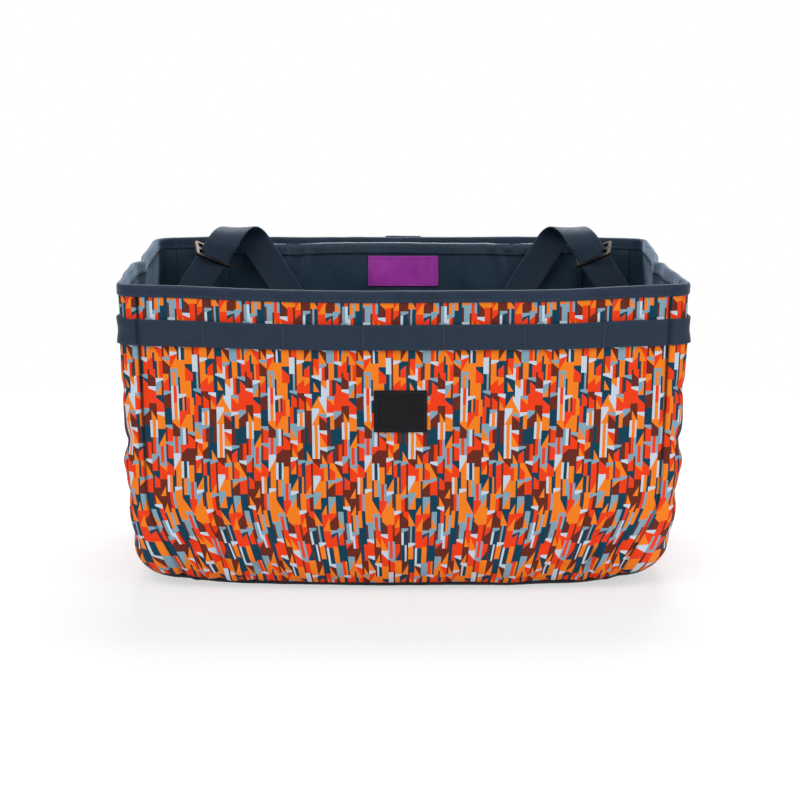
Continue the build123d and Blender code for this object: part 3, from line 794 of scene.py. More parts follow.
@dataclass
class WallForm:
    """The outer face of the basket's wall as a surface: s runs round it from the front's middle, v up the
    cloth from the base's seam."""

    half_rim: float
    height: float
    back_y: float
    corner_y: float
    lining_in: float  # from the outer face to the lining's middle
    half_base: float = 208 * MM
    rim_bow: float = 18 * MM
    base_bow: float = 12 * MM
    front_r: float = 17 * MM
    back_r: float = 23 * MM
    low_r: float = 42 * MM
    low_reach: float = 75 * MM  # height below which the upright corners grow rounder
    edge_r: float = 30 * MM
    base_in: float = 12.5 * MM  # how far in from the upright wall the base's seam lies
    seam_depth: float = 2.6 * MM
    seam_w: float = 2.6 * MM
    slump: float = 6 * MM  # how far the right side draws in at the floor
    slump_from: float = 120 * MM  # how far right of the middle that begins
    slump_h: float = 95 * MM
    seam_short: float = 0.5 * MM  # how far short of its rounded corner the front panel ends
    pinched: float = 2.1 * MM  # how much closer the lining comes at the rim
    pinch_reach: float = 16 * MM
    corner_lift: float = 5 * MM  # how far the front's lower corners stand off the floor
    rim_soft: float = 110 * MM  # how far down from the rim its bends reach
    rim_dip: float = 2.6 * MM  # how far the front's middle sags
    rim_rise: float = 3.4 * MM  # how far the sides rise to the back
    rim_kink: float = 0.05  # half-width of the fold in each side's rim, as a share of the side
    drawn_right: float = 11 * MM  # how far the back of each side is drawn in
    drawn_left: float = 6.5 * MM
    anchor_spot: Spot = (230 * MM, 112 * MM)  # where each strap end is sewn through the side
    anchor_flat: float = 40 * MM
    lengths: list[float] = field(default_factory=list)
    creases: list[Crease] = field(default_factory=list)

    def __post_init__(self) -> None:
        """Works out the nominal length of each stretch and the folds near the corners."""
        front = 2 * (self.half_rim - self.front_r)
        side = self.back_y - self.corner_y - self.front_r - self.back_r
        back = 2 * (self.half_rim - self.back_r)
        near, far_corner = self.front_r * pi / 2, self.back_r * pi / 2
        self.lengths = [front, near, side, far_corner, back, far_corner, side, near]
        self.start_angle = asin(1 - self.base_in / self.edge_r)
        self.bend = self.edge_r * (pi / 2 - self.start_angle)
        self.cloth_h = self.bend + self.height - self.edge_r
        self.creases = self.corner_folds()

    @property
    def around(self) -> float:
        """The whole length round the rim."""
        return sum(self.lengths)

    @property
    def front_half(self) -> float:
        """Half of the front panel's width, which ends a little way short of each corner."""
        return self.lengths[0] / 2 - self.seam_short

    @property
    def back_seam(self) -> float:
        """The distance from the front's middle to a back corner's seam."""
        return sum(self.lengths[1:4]) + self.lengths[0] / 2

    def corner_folds(self) -> list[Crease]:
        """Gathers where the front turns under near its lower corners, and slack folds in the sides."""
        fan = ((10, 6, 24, 52, 5, 3.9), (22, 3, 36, 40, 4.5, -2.7), (34, 2, 46, 46, 4.5, 4.2),
               (52, 3, 38, 30, 4, 3.3), (46, 4, 70, 30, 5, -3.0), (64, 2, 54, 34, 4.5, 2.7),
               (84, 3, 62, 24, 5, 2.4), (16, 30, 58, 46, 5, 3.0), (104, 4, 78, 22, 6, 1.8),
               (6, 50, 30, 66, 6, 1.8))
        slack = ((6, 62, 40, 78, 6, 2.4), (8, 92, 60, 104, 7, -2.0), (5, 118, 46, 106, 6, 2.6),
                 (30, 140, 110, 122, 8, 2.4), (8, 158, 34, 150, 6, 2.2), (60, 60, 150, 92, 9, 2.8),
                 (150, 60, 230, 110, 9, 2.6), (120, 150, 210, 132, 9, 2.2), (12, 20, 40, 52, 6, 2.6),
                 (40, 6, 52, 40, 6, 2.2), (210, 30, 240, 70, 7, 2.2), (90, 4, 100, 36, 7, 1.8),
                 (170, 4, 160, 40, 7, 2.0), (8, 196, 60, 204, 7, 1.4))
        seam = self.front_half
        gathers = [Crease.beside(seam, side, stretch, sizes)
                   for side, stretch in ((-1, -1.0), (1, -0.86)) for sizes in fan]
        return gathers + [Crease.beside(seam, side, 1.0, sizes) for side in (-1, 1) for sizes in slack]

    def profile(self, v: float) -> tuple[float, float, float]:
        """Height, inset from the upright wall, and the angle that the cloth has turned up by, at v."""
        if v >= self.bend:
            return v - self.bend + self.edge_r, 0.0, pi / 2
        angle = self.start_angle + v / self.edge_r
        return self.edge_r * (1 - cos(angle)), self.edge_r * (1 - sin(angle)), angle

    def cloth_at(self, height: float) -> float:
        """The distance up the cloth at a height on the upright wall."""
        return height - self.edge_r + self.bend

    def section(self, s: float, z: float, inset: float) -> tuple[Vector, Vector]:
        """A place on the outline at height z, drawn in by inset, and the way out of it."""
        spot, out = self.outline(s, z, inset)
        right = eased((spot.x - self.slump_from) / (80 * MM))
        spot.x -= self.slump * right * (1 - eased(z / self.slump_h))
        return spot, out

    def outline(self, s: float, z: float, inset: float) -> tuple[Vector, Vector]:
        """The same before the right side slumps: straight sides and back, a bowed front and round corners."""
        share = z / self.height
        half = self.half_base + (self.half_rim - self.half_base) * share - inset
        bow = self.base_bow + (self.rim_bow - self.base_bow) * share
        low = 1 - eased(z / self.low_reach)
        near = max(self.front_r + (self.low_r - self.front_r) * low - inset, 4 * MM)
        rear = max(self.back_r + (self.low_r - self.back_r) * low - inset, 4 * MM)
        front_y, back_y = self.corner_y + inset, self.back_y - inset
        lean = atan2(2 * bow * (half - near), half * half)
        join_x = half - near * (1 - sin(lean))
        near_y = front_y - bow * (1 - (join_x / half) ** 2) + near * cos(lean)
        left = (s + self.lengths[0] / 2) % self.around
        stretch = 0
        while stretch < 7 and left > self.lengths[stretch]:
            left -= self.lengths[stretch]
            stretch += 1
        part = left / self.lengths[stretch]
        side = Side(stretch)
        if side is Side.FRONT:
            x = (2 * part - 1) * join_x
            out = Vector((2 * bow * x / half ** 2, -1, 0)).normalized()
            return Vector((x, front_y - bow * (1 - (x / half) ** 2), z)), out
        if side is Side.BACK:
            return Vector(((1 - 2 * part) * (half - rear), back_y, z)), Vector((0, 1, 0))
        if side in (Side.RIGHT, Side.LEFT):
            way = 1 if side is Side.RIGHT else -1
            reach = part if side is Side.RIGHT else 1 - part
            return Vector((way * half, near_y + reach * (back_y - rear - near_y), z)), Vector((way, 0, 0))
        turn = {
            Side.RIGHT_FRONT: lean - pi / 2 + part * (pi / 2 - lean), Side.RIGHT_BACK: part * pi / 2,
            Side.LEFT_BACK: (1 + part) * pi / 2, Side.LEFT_FRONT: pi + part * (pi / 2 - lean),
        }[side]
        at_front = side in (Side.RIGHT_FRONT, Side.LEFT_FRONT)
        radius = near if at_front else rear
        center_x = (half - radius) * (1 if side in (Side.RIGHT_FRONT, Side.RIGHT_BACK) else -1)
        out = Vector((cos(turn), sin(turn), 0))
        return Vector((center_x, near_y if at_front else back_y - rear, z)) + out * radius, out

    def from_middle(self, s: float) -> float:
        """How far right of the front's middle a spot is, or left of it when less than zero."""
        return (s + self.around / 2) % self.around - self.around / 2

    def from_front_seam(self, s: float) -> float:
        """How far past the nearer front corner seam a spot is, less than zero on the front."""
        return abs(self.from_middle(s)) - self.front_half

    def lining_at(self, v: float) -> float:
        """How far outside of the outer face the lining's middle lies; it nears the cloth at the rim."""
        return -self.lining_in + self.pinched * eased(1 - (self.cloth_h - v) / self.pinch_reach)

    def rim_move(self, s: float) -> Spot:
        """How far the rim stands out and up from its plain line."""
        past = self.from_front_seam(s)
        side_length = self.back_seam - self.front_half
        out = 0.8 * MM * wave_noise(s * 9, 0.3, 4.1)
        up = 0.6 * MM * wave_noise(s * 16, 2.3, 1.7)
        if past < 0:
            return out, up - self.rim_dip * eased(-past / (0.6 * self.front_half))
        fold = min(past / side_length, 1.0)
        out -= 2.4 * MM * hump(fold - 0.50, self.rim_kink) - 1.4 * MM * hump(fold - 0.42, self.rim_kink)
        out -= 1.2 * MM * hump(fold - 0.16, 0.06)
        if self.from_middle(s) > 0:
            drawn = self.drawn_right * eased((fold - 0.06) / 0.42)
        else:
            drawn = self.drawn_left * eased((fold - 0.25) / 0.50)
        out -= drawn * (1 - eased((past - side_length + 15 * MM) / (60 * MM)))
        up += self.rim_rise * eased(fold / 0.9) - 1.6 * MM * hump(fold - 0.50, self.rim_kink)
        return out, up

    def push(self, s: float, v: float) -> float:
        """How far the soft cloth stands out of its plain form: seams, slow waves and folds."""
        past = self.from_front_seam(s)
        top = self.cloth_h - v
        signed = self.from_middle(s)
        behind = abs(signed) - self.back_seam
        seam = self.seam_depth * (0.35 + 0.65 * hump(top - 34 * MM, 70 * MM))
        moved = -seam * hump(past, self.seam_w) - 1.0 * MM * hump(behind, 3 * MM)
        if past < 0:
            moved += 1.3 * MM * hump(past + 9 * MM, 6 * MM)
        slow = 1.0 * MM * wave_noise(signed * 11, v * 8, 7.7)
        slow += 0.45 * MM * wave_noise(signed * 38, v * 20, 3.2)
        at_rim = 0.55 * MM * wave_noise(signed * 95, v * 12, 9.4) * hump(top - 12 * MM, 14 * MM)
        at_floor = 1.4 * MM * wave_noise(signed * 26, v * 34, 6.1) * hump(v - 18 * MM, 24 * MM)
        moved += (0.25 if behind > 0 else 1.0) * (slow + at_rim + at_floor)
        if past > 0 > behind:
            moved += 1.9 * MM * wave_noise(signed * 9, v * 30 + signed * 7, 5.5)
        moved += sum(crease.push(signed, v) for crease in self.creases if crease.near(signed, v))
        across = abs(signed) - self.front_half - self.anchor_spot[0]
        up = v - self.cloth_at(self.anchor_spot[1])
        return moved * (1 - 0.95 * hump(hypot(across, up), self.anchor_flat))

    def place(self, s: float, v: float, out: float = 0.0) -> Vector:
        """A point on the soft wall.

        Args:
            s: the distance round it.
            v: the distance up the cloth.
            out: how far outside of the cloth's outer face the point is.

        Returns:
            The point.
        """
        z, inset, angle = self.profile(v)
        spot, level_out = self.section(s, z, inset)
        way = level_out * sin(angle) - Vector((0, 0, cos(angle)))
        near_rim = eased(1 - (self.cloth_h - v) / self.rim_soft)
        rim_out, rim_up = self.rim_move(s)
        firm = 1 - 0.75 * hump(self.cloth_h - v, 9 * MM)
        spot = spot + way * (out + firm * self.push(s, v)) + level_out * (rim_out * near_rim)
        spot.z += rim_up * near_rim
        corner = hump(self.from_front_seam(s) - 8 * MM, 30 * MM)
        spot.z += self.corner_lift * corner * (1 - eased(v / (60 * MM)))
        spot.z = max(spot.z, 0.6 * MM + max(-out, 0.0) * cos(angle))
        return spot


def enter(piece: Object, body: str, slot: str, *nodes: str) -> Object:
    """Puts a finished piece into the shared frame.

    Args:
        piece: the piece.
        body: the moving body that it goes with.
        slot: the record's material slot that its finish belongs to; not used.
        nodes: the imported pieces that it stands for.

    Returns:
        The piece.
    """
    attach(piece, body)
    if nodes:
        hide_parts(*nodes)
    stands_for = ", ".join(nodes) or "a detail"
    log.info("%s: %d faces, stands for %s", piece.name, len(piece.data.polygons), stands_for)
    return piece


# =========================================================================== sewn wall
@dataclass(frozen=True)
class Layer:
    """One layer of the wall."""

    suffix: str
    middle: float  # how far outside of the cloth's outer face its middle lies
    thick: float
    slot: str


@dataclass
class SewnWall:
    """The wall and base: printed cloth, boards and foam, and lining, each cut at the corner seams."""

    form: WallForm
    finishes: Finishes
    fabric_t: float = 1.0 * MM
    board_t: float = 1.8 * MM
    lining_t: float = 0.8 * MM
    gap: float = 0.1 * MM
    cell: float = 2.1 * MM
    rim_gap: float = 1.3 * MM  # from the layers' top edge to the binding's top

    @property
    def wall_t(self) -> float:
        """The whole wall's thickness."""
        return self.fabric_t + self.board_t + self.lining_t + 2 * self.gap

    def build(self) -> None:
        """Makes every layer of every region, and the base."""
        cloth_at = -self.fabric_t / 2
        board_at = -(self.fabric_t + self.gap + self.board_t / 2)
        lining = Layer("lining", -(self.wall_t - self.lining_t / 2), self.lining_t, "lining_fabric")
        for region, start, end in self.regions():
            cloth = "base_fabric" if region == "back" else "print_fabric"
            stiff = ("foam", "foam") if region.endswith("side") else ("board", "stiffener")
            self.sheet(region, start, end, Layer("panel", cloth_at, self.fabric_t, cloth), self.cell)
            self.sheet(region, start, end, Layer(stiff[0], board_at, self.board_t, stiff[1]), 2 * self.cell)
            self.sheet(region, start, end, lining, self.cell)
        self.base(Layer("panel", cloth_at, self.fabric_t, "base_fabric"))
        self.base(Layer("board", board_at, self.board_t, "stiffener"))
        self.base(lining)

    def regions(self) -> list[tuple[str, float, float]]:
        """Name, start and end of each region, as distances round the rim."""
        seam, back = self.form.front_half, self.form.back_seam
        return [("front", -seam, seam), ("right_side", seam, back),
                ("back", back, self.form.around - back), ("left_side", -back, -seam)]

    def finish(self, slot: str) -> Material:
        """The finish of a slot; the hidden boards and foam take the moulded and the black finish."""
        hidden = {"stiffener": self.finishes.block_plastic, "foam": self.finishes.base_fabric}
        return hidden[slot] if slot in hidden else getattr(self.finishes, slot)

    def sheet(self, region: str, start: float, end: float, layer: Layer, cell: float) -> None:
        """Cuts one layer of one region and lays it on the form."""
        lining = layer.suffix == "lining"
        stops = self.rim_gap if lining or layer.suffix == "panel" else self.form.pinch_reach
        high = self.form.cloth_h - stops
        piece = mapped_sheet(
            f"{region}_{layer.suffix}_cloth", self.finish(layer.slot), (end - start, high),
            (ceil((end - start) / cell), ceil(high / cell)),
            lambda s, v: self.form.place(s, v, self.form.lining_at(v) if lining else layer.middle),
            corner=(start, 0.0),
        )
        thicken(piece, layer.thick)
        enter(piece, BASKET, layer.slot, f"{region}_{layer.suffix}")

    def base(self, layer: Layer) -> None:
        """One layer of the base: rings from its seam to its middle."""
        form = self.form
        middle = Vector((0, (form.corner_y + form.back_y) / 2, 0))
        bm = bmesh.new()
        count = ceil(form.around / (3 * self.cell))
        turned = form.start_angle * form.edge_r
        bend_rings = 6
        stations = [(-turned * step / bend_rings, 1.0) for step in range(bend_rings)]
        stations += [(stations[-1][0], share) for share in (0.97, 0.93, 0.85, 0.7, 0.4)]
        rings = []
        for v, share in stations:
            ring = []
            for step in range(count):
                edge = form.place(form.around * step / count, v, layer.middle)
                spot = middle.lerp(edge, share)
                rest = share ** 12
                spot.z = edge.z * rest + (-layer.middle) * (1 - rest)
                ring.append(bm.verts.new(spot))
            rings.append(ring)
        for outer, inner in zip(rings, rings[1:]):
            for step in range(count):
                after = (step + 1) % count
                bm.faces.new((outer[step], outer[after], inner[after], inner[step]))
        bm.faces.new(rings[-1])
        with_uv(bm, Vector((1, 0, 0)), Vector((0, 1, 0)))
        bmesh.ops.recalc_face_normals(bm, faces=bm.faces)
        piece = finished(bm, f"base_{layer.suffix}_cloth", self.finish(layer.slot))
        thicken(piece, layer.thick)
        enter(piece, BASKET, layer.slot, f"base_{layer.suffix}")


# =========================================================================== rim binding
@dataclass
class RimBinding:
    """Tape folded over the wall's edge and sewn down, with its ends lapped at the back."""

    form: WallForm
    finishes: Finishes
    edge_t: float = 1.9 * MM  # the cloth and the lining, where the tape holds them together
    tape_t: float = 0.9 * MM
    gap: float = 0.1 * MM
    height: float = 9.3 * MM
    lap: float = 30 * MM
    stitch_in: float = 1.9 * MM
    cell: float = 1.8 * MM

    def __post_init__(self) -> None:
        """Works out the tape's fold."""
        self.out = self.gap + self.tape_t / 2
        self.fold_r = self.edge_t / 2 + self.out
        self.flat = self.height - self.tape_t / 2 - self.fold_r
        self.width = 2 * self.flat + pi * self.fold_r

    def build(self) -> None:
        """Makes the tape, its lapped end and both rows of stitches."""
        around = self.form.around
        tape = mapped_sheet(
            "rim_tape", self.finishes.binding_tape, (around, self.width),
            (ceil(around / self.cell), 14), self.place, corner=(-around / 2, 0.0))
        thicken(tape, self.tape_t)
        soften(tape)
        enter(tape, BASKET, "binding_tape", "rim_binding")
        lapped = mapped_sheet(
            "rim_tape_lap", self.finishes.binding_tape, (self.lap, self.flat + self.fold_r),
            (16, 8), lambda s, p: self.place(s, p, self.tape_t + 0.2 * MM),
            corner=(around / 2 - self.lap / 2, 0.0))
        thicken(lapped, self.tape_t * 0.9)
        enter(lapped, BASKET, "binding_tape", "rim_binding_join")
        rows = [(lambda d, p=p: self.place(d - around / 2, p, 0.5 * MM), around)
                for p in (self.stitch_in, self.width - self.stitch_in)]
        enter(Stitching().sew("rim_stitches", self.finishes.navy_thread, rows), BASKET, "binding_tape")

    def place(self, s: float, p: float, lift: float = 0.0) -> Vector:
        """A spot on the tape: s round the rim, p across the tape from its outer edge, lift off it."""
        form = self.form
        fold_v = form.cloth_h - self.tape_t / 2 - self.fold_r
        if p < self.flat:
            out, v = self.out, fold_v - (self.flat - p)
            sewn = hump(p - self.stitch_in, 1.5 * MM)
            puff = 0.25 * MM * (1 - sewn) + 0.3 * MM * wave_noise(s * 170, p * 90, 2.2)
            return form.place(s, v, out + lift + puff)
        if p < self.width - self.flat:
            angle = (p - self.flat) / self.fold_r
            puff = 0.2 * MM + 0.25 * MM * wave_noise(s * 120, angle, 8.8)
            reach = self.fold_r + lift + puff
            return form.place(s, fold_v + reach * sin(angle), self.out - self.fold_r + reach * cos(angle))
        left = self.width - p
        sewn = hump(left - self.stitch_in, 1.5 * MM)
        puff = 0.3 * MM * (1 - sewn) + 0.22 * MM * wave_noise(s * 170, p * 90, 5.2)
        v = fold_v - (self.flat - left)
        inside = min(self.out - 2 * self.fold_r, form.lining_at(v) - 0.4 * MM - self.out)
        return form.place(s, v, inside - lift - puff)


# =========================================================================== webbing band and patch
@dataclass
class BandAndPatch:
    """The webbing band tacked round the front and sides, and the bare patch sewn on the front."""

    form: WallForm
    finishes: Finishes
    band_box: tuple[Vector, Vector]
    patch_box: tuple[Vector, Vector]
    tack_pitch: float = 59.6 * MM
    band_t: float = 1.4 * MM
    bulge: float = 1.1 * MM
    tack_w: float = 2.4 * MM
    tack_rows: int = 17
    patch_t: float = 0.9 * MM
    patch_r: float = 0.9 * MM
    patch_over: float = 2.6 * MM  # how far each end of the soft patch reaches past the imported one
    patch_off: float = -2.4 * MM  # how far right of the middle it is sewn
    patch_hem: float = 1.8 * MM

    def build(self) -> None:
        """Makes the band, its bartacks, the patch and the patch's stitched border."""
        self.band()
        self.tacks()
        self.patch()

    @property
    def band_end(self) -> float:
        """The distance from the front's middle to each end of the band."""
        return sum(self.form.lengths[1:3]) + self.form.lengths[0] / 2

    def band_place(self, s: float, v: float, lift: float = 0.0) -> Vector:
        """A spot on the band, which stands off the cloth between its tacks."""
        phase = abs(((s / self.tack_pitch) % 1.0) - 0.5) * 2
        raised = self.bulge * min(1.0, 2.2 * phase) ** 0.6 if phase > 0 else 0.0
        seam = 1.3 * MM * hump(self.form.from_front_seam(s), 1.6 * MM)
        edge = 0.25 * MM * wave_noise(s * 45, v * 60, 1.2)
        return self.form.place(s, v, 0.1 * MM + self.band_t / 2 + raised - seam + edge + lift)

    def band(self) -> None:
        """The band, with its length in u and its width, from its middle, in v."""
        low, high = self.band_box[0].z, self.band_box[1].z
        middle, width = self.form.cloth_at((low + high) / 2), high - low
        end = self.band_end
        piece = mapped_sheet(
            "tacked_band", self.finishes.webbing, (2 * end, width), (ceil(2 * end / (1.7 * MM)), 12),
            lambda s, w: self.band_place(s, middle + w), corner=(-end, -width / 2))
        thicken(piece, self.band_t)
        edge = piece.modifiers.new("selvedge", "BEVEL")
        edge.width, edge.segments, edge.limit_method = 0.35 * MM, 2, "ANGLE"
        enter(piece, BASKET, "webbing", "webbing_band")

    def tacks(self) -> None:
        """Dense upright rows of short stitches across the band."""
        low, high = self.band_box[0].z + 1.6 * MM, self.band_box[1].z - 1.6 * MM
        bm = bmesh.new()
        stitching = Stitching(thick=0.5 * MM)
        over = self.band_t / 2 + 0.15 * MM
        count = floor(self.band_end / self.tack_pitch - 0.5) + 1
        for index in range(-count, count):
            s = (index + 0.5) * self.tack_pitch
            if abs(s) > self.band_end - 6 * MM or abs(self.form.from_front_seam(s)) < 12 * MM:
                continue
            for row in range(self.tack_rows):
                v = self.form.cloth_at(low + (high - low) * row / (self.tack_rows - 1))
                lean = 0.35 * MM * (-1) ** row
                ends = [self.band_place(s + way * self.tack_w / 2, v + way * lean, over) for way in (-1, 1)]
                stitching.stitch(bm, *ends)
        enter(finished(bm, "band_tacks", self.finishes.navy_thread), BASKET, "webbing")

    def patch(self) -> None:
        """The bare patch, with stitches a little way in from its edge."""
        low, high = self.patch_box
        half_w = (high.x - low.x) / 2 + self.patch_over
        half_h = (high.z - low.z) / 2 + 0.3 * self.patch_over
        middle = self.form.cloth_at((low.z + high.z) / 2)

        def lay(a: float, b: float, out: float) -> Vector:
            """A spot by its distance from the patch's middle and how far off the cloth it is."""
            return self.form.place(a + self.patch_off, middle + b, 0.1 * MM + out)

        def place(a: float, b: float) -> Vector:
            """A spot of the patch's cloth, which is fuller inside of its hem."""
            a, b = rounded(a, b, half_w, half_h, self.patch_r)
            edge = min(half_w - abs(a), half_h - abs(b))
            return lay(a, b, self.patch_t / 2 + 0.5 * MM * eased((edge - 2 * MM) / (5 * MM)))

        piece = mapped_sheet("bare_patch", self.finishes.patch_fabric, (2 * half_w, 2 * half_h), (40, 36),
                             place, corner=(-half_w, -half_h))
        thicken(piece, self.patch_t)
        enter(piece, BASKET, "patch_fabric", "front_patch")
        rows = box_rows(half_w - self.patch_hem, half_h - self.patch_hem,
                        lambda a, b: lay(a, b, self.patch_t + 0.15 * MM))
        stitching = Stitching(length=2.0 * MM, pitch=2.7 * MM, thick=0.3 * MM)
        enter(stitching.sew("patch_stitches", self.finishes.black_thread, rows), BASKET, "patch_fabric")


# =========================================================================== inner pocket
@dataclass
class InnerPocket:
    """The padded pocket on the back wall: its face, its hem and its bare label."""

    finishes: Finishes
    box: tuple[Vector, Vector]
    hem_box: tuple[Vector, Vector]
    label_box: tuple[Vector, Vector]
    corner_r: float = 16 * MM
    bend_r: float = 7 * MM
    face_t: float = 4.5 * MM
    crown: float = 3.5 * MM
    cell: float = 2.4 * MM
    tape_t: float = 0.8 * MM
    tape_off: float = 1.0 * MM  # from the face to the middle of the hem's tape
    label_t: float = 0.6 * MM
    label_hem: float = 2.2 * MM

    def build(self) -> None:
        """Makes the face with its side walls, the hem, the label and their stitches."""
        self.face()
        self.hem()
        self.label()

    @property
    def half(self) -> float:
        """Half of the pocket's width."""
        return (self.box[1].x - self.box[0].x) / 2

    def surface(self, a: float, b: float, lift: float = 0.0) -> Vector:
        """A spot on the face; past its edge the cloth bends back to the wall.

        Args:
            a: the distance across from the middle.
            b: the height above the pocket's lower edge, less than zero where the cloth has bent back.
            lift: how far in front of the face's middle layer the spot is.

        Returns:
            The spot.
        """
        low, high = self.box
        flat_a, flat_b = self.half - self.corner_r, self.corner_r
        beyond_a, beyond_b = max(abs(a) - flat_a, 0.0), max(flat_b - b, 0.0)
        radial = hypot(beyond_a, beyond_b)
        past = max(radial - (self.corner_r - self.bend_r), 0.0)
        depth = high.y - low.y
        past = min(past, self.bend_r * (pi / 2 - 1) + depth)
        if past < self.bend_r * pi / 2:
            angle = past / self.bend_r
            flat, back = self.bend_r * sin(angle), self.bend_r * (1 - cos(angle))
        else:
            angle = pi / 2
            flat, back = self.bend_r, past - self.bend_r * (pi / 2 - 1)
        reach = min(radial, self.corner_r - self.bend_r) + flat + lift * sin(angle)
        way_a, way_b = (beyond_a / radial, beyond_b / radial) if radial > 0 else (0.0, 0.0)
        side = 1 if a > 0 else -1
        x = side * (min(abs(a), flat_a) + way_a * reach)
        z = low.z + max(b, flat_b) - way_b * reach + 3.2 * MM * eased(b / (high.z - low.z)) ** 2
        soft = 1 - eased(back / (depth * 0.6))
        y = low.y + self.face_t / 2 + back - lift * cos(angle) - self.relief(a, b) * soft
        return Vector((x, y, z))

    def relief(self, a: float, b: float) -> float:
        """How far the padding stands out at a spot: its crown, and gathers below the ends of its top."""
        across, up = a / self.half, b / (self.box[1].z - self.box[0].z)
        raised = self.crown * (1 - across ** 4) * (1 - (2 * up - 1) ** 6) - 0.4 * self.crown
        raised += 1.1 * MM * wave_noise(a * 14, b * 10, 3.3) + 0.5 * MM * wave_noise(a * 40, b * 22, 6.3)
        top = self.box[1].z - self.box[0].z - b
        gathers = ((-0.62, 0.16), (0.58, 0.15), (-0.3, 0.07), (0.27, 0.06), (0.86, 0.1), (-0.88, 0.1))
        for middle, width in gathers:
            fan = (across - middle - 0.25 * middle * top / (60 * MM)) / width
            raised += 1.6 * MM * hump(fan, 1.0) * sin(fan * 9.0) * exp(-top / (26 * MM)) * width / 0.16
        return raised

    def face(self) -> None:
        """The padded face and the walls that join it to the back, less the cells closed up at its corners."""
        low, high = self.box
        hidden = high.y - low.y + self.bend_r * (pi / 2 - 1) - self.bend_r
        width, height = 2 * (self.half + hidden), high.z - low.z - 1.0 * MM + hidden
        piece = mapped_sheet(
            "padded_pocket", self.finishes.lining_fabric, (width, height),
            (ceil(width / self.cell), ceil(height / self.cell)), self.surface, corner=(-width / 2, -hidden))
        bm = bmesh.new()
        bm.from_mesh(piece.data)
        flat = [face for face in bm.faces if face.calc_area() < 0.05 * MM * self.cell]
        bmesh.ops.delete(bm, geom=flat, context="FACES")
        bm.to_mesh(piece.data)
        bm.free()
        thicken(piece, self.face_t * 0.8, even=False)
        enter(piece, BASKET, "lining_fabric", "inner_pocket")

    def hem(self) -> None:
        """The tape folded over the pocket's top edge, drawn in where the face is gathered."""
        low, high = self.hem_box
        rise = self.box[1].z - self.box[0].z
        half_w = self.half - 1.5 * MM
        fold_r = (high.y - low.y) / 2 - 0.6 * MM
        flat = high.z - low.z - fold_r
        width = 2 * flat + pi * fold_r

        def place(a: float, p: float) -> Vector:
            """A spot on the tape, p across it from its front edge, up over the fold and down behind."""
            pucker = 0.22 * MM * wave_noise(a * 110, p * 60, 4.4)
            if p < flat:
                spot = self.surface(a, rise - fold_r - (flat - p), self.face_t / 2 + self.tape_off + pucker)
            else:
                angle = min((p - flat) / fold_r, pi)
                down = max(p - flat - pi * fold_r, 0.0)
                front = self.surface(a, rise - fold_r, self.face_t / 2 + self.tape_off)
                over = fold_r + pucker
                spot = front + Vector((0, over * (1 - cos(angle)), over * sin(angle) - down))
            sag = 1.5 * MM * hump(abs(a) / self.half - 0.62, 0.12)
            spot.z += 0.9 * MM * wave_noise(a * 14, 1.0, 8.4) - sag
            return spot

        piece = mapped_sheet("pocket_tape", self.finishes.lining_fabric, (2 * half_w, width),
                             (ceil(2 * half_w / (1.8 * MM)), 14), place, corner=(-half_w, 0.0))
        thicken(piece, self.tape_t)
        soften(piece)
        enter(piece, BASKET, "binding_tape", "pocket_hem")
        rows = [(lambda d: place(d - half_w, 1.6 * MM) + Vector((0, -0.55 * MM, 0)), 2 * half_w)]
        enter(Stitching().sew("pocket_stitches", self.finishes.lining_thread, rows), BASKET, "binding_tape")

    def label(self) -> None:
        """The bare satin label, with a raised woven edge and stitches inside it."""
        low, high = self.label_box
        half_w, half_h = (high.x - low.x) / 2, (high.z - low.z) / 2
        middle = low.z - self.box[0].z + half_h

        def place(a: float, b: float, lift: float = 0.0) -> Vector:
            """A spot of the label, with its raised edge."""
            edge = min(half_w - abs(a), half_h - abs(b))
            rib = 0.3 * MM * (1 - eased(edge / (1.4 * MM)))
            off = self.face_t / 2 + 0.2 * MM + self.label_t / 2
            return self.surface(a, middle + b, off + rib + lift)

        piece = mapped_sheet("bare_label", self.finishes.label_satin, (2 * half_w, 2 * half_h), (60, 30),
                             place, corner=(-half_w, -half_h))
        thicken(piece, self.label_t)
        enter(piece, BASKET, "label_satin", "inner_label")
        rows = box_rows(half_w - self.label_hem, half_h - self.label_hem,
                        lambda a, b: place(a, b, self.label_t / 2 + 0.15 * MM))
        stitching = Stitching(length=1.9 * MM, pitch=2.3 * MM, thick=0.32 * MM)
        enter(stitching.sew("label_stitches", self.finishes.purple_thread, rows), BASKET, "label_satin")


# =========================================================================== shoulder strap
@dataclass(frozen=True)
class Lie:
    """How the webbing lies at one spot: its middle, the way it runs and the way across it."""

    spot: Vector
    along: Vector
    across: Vector


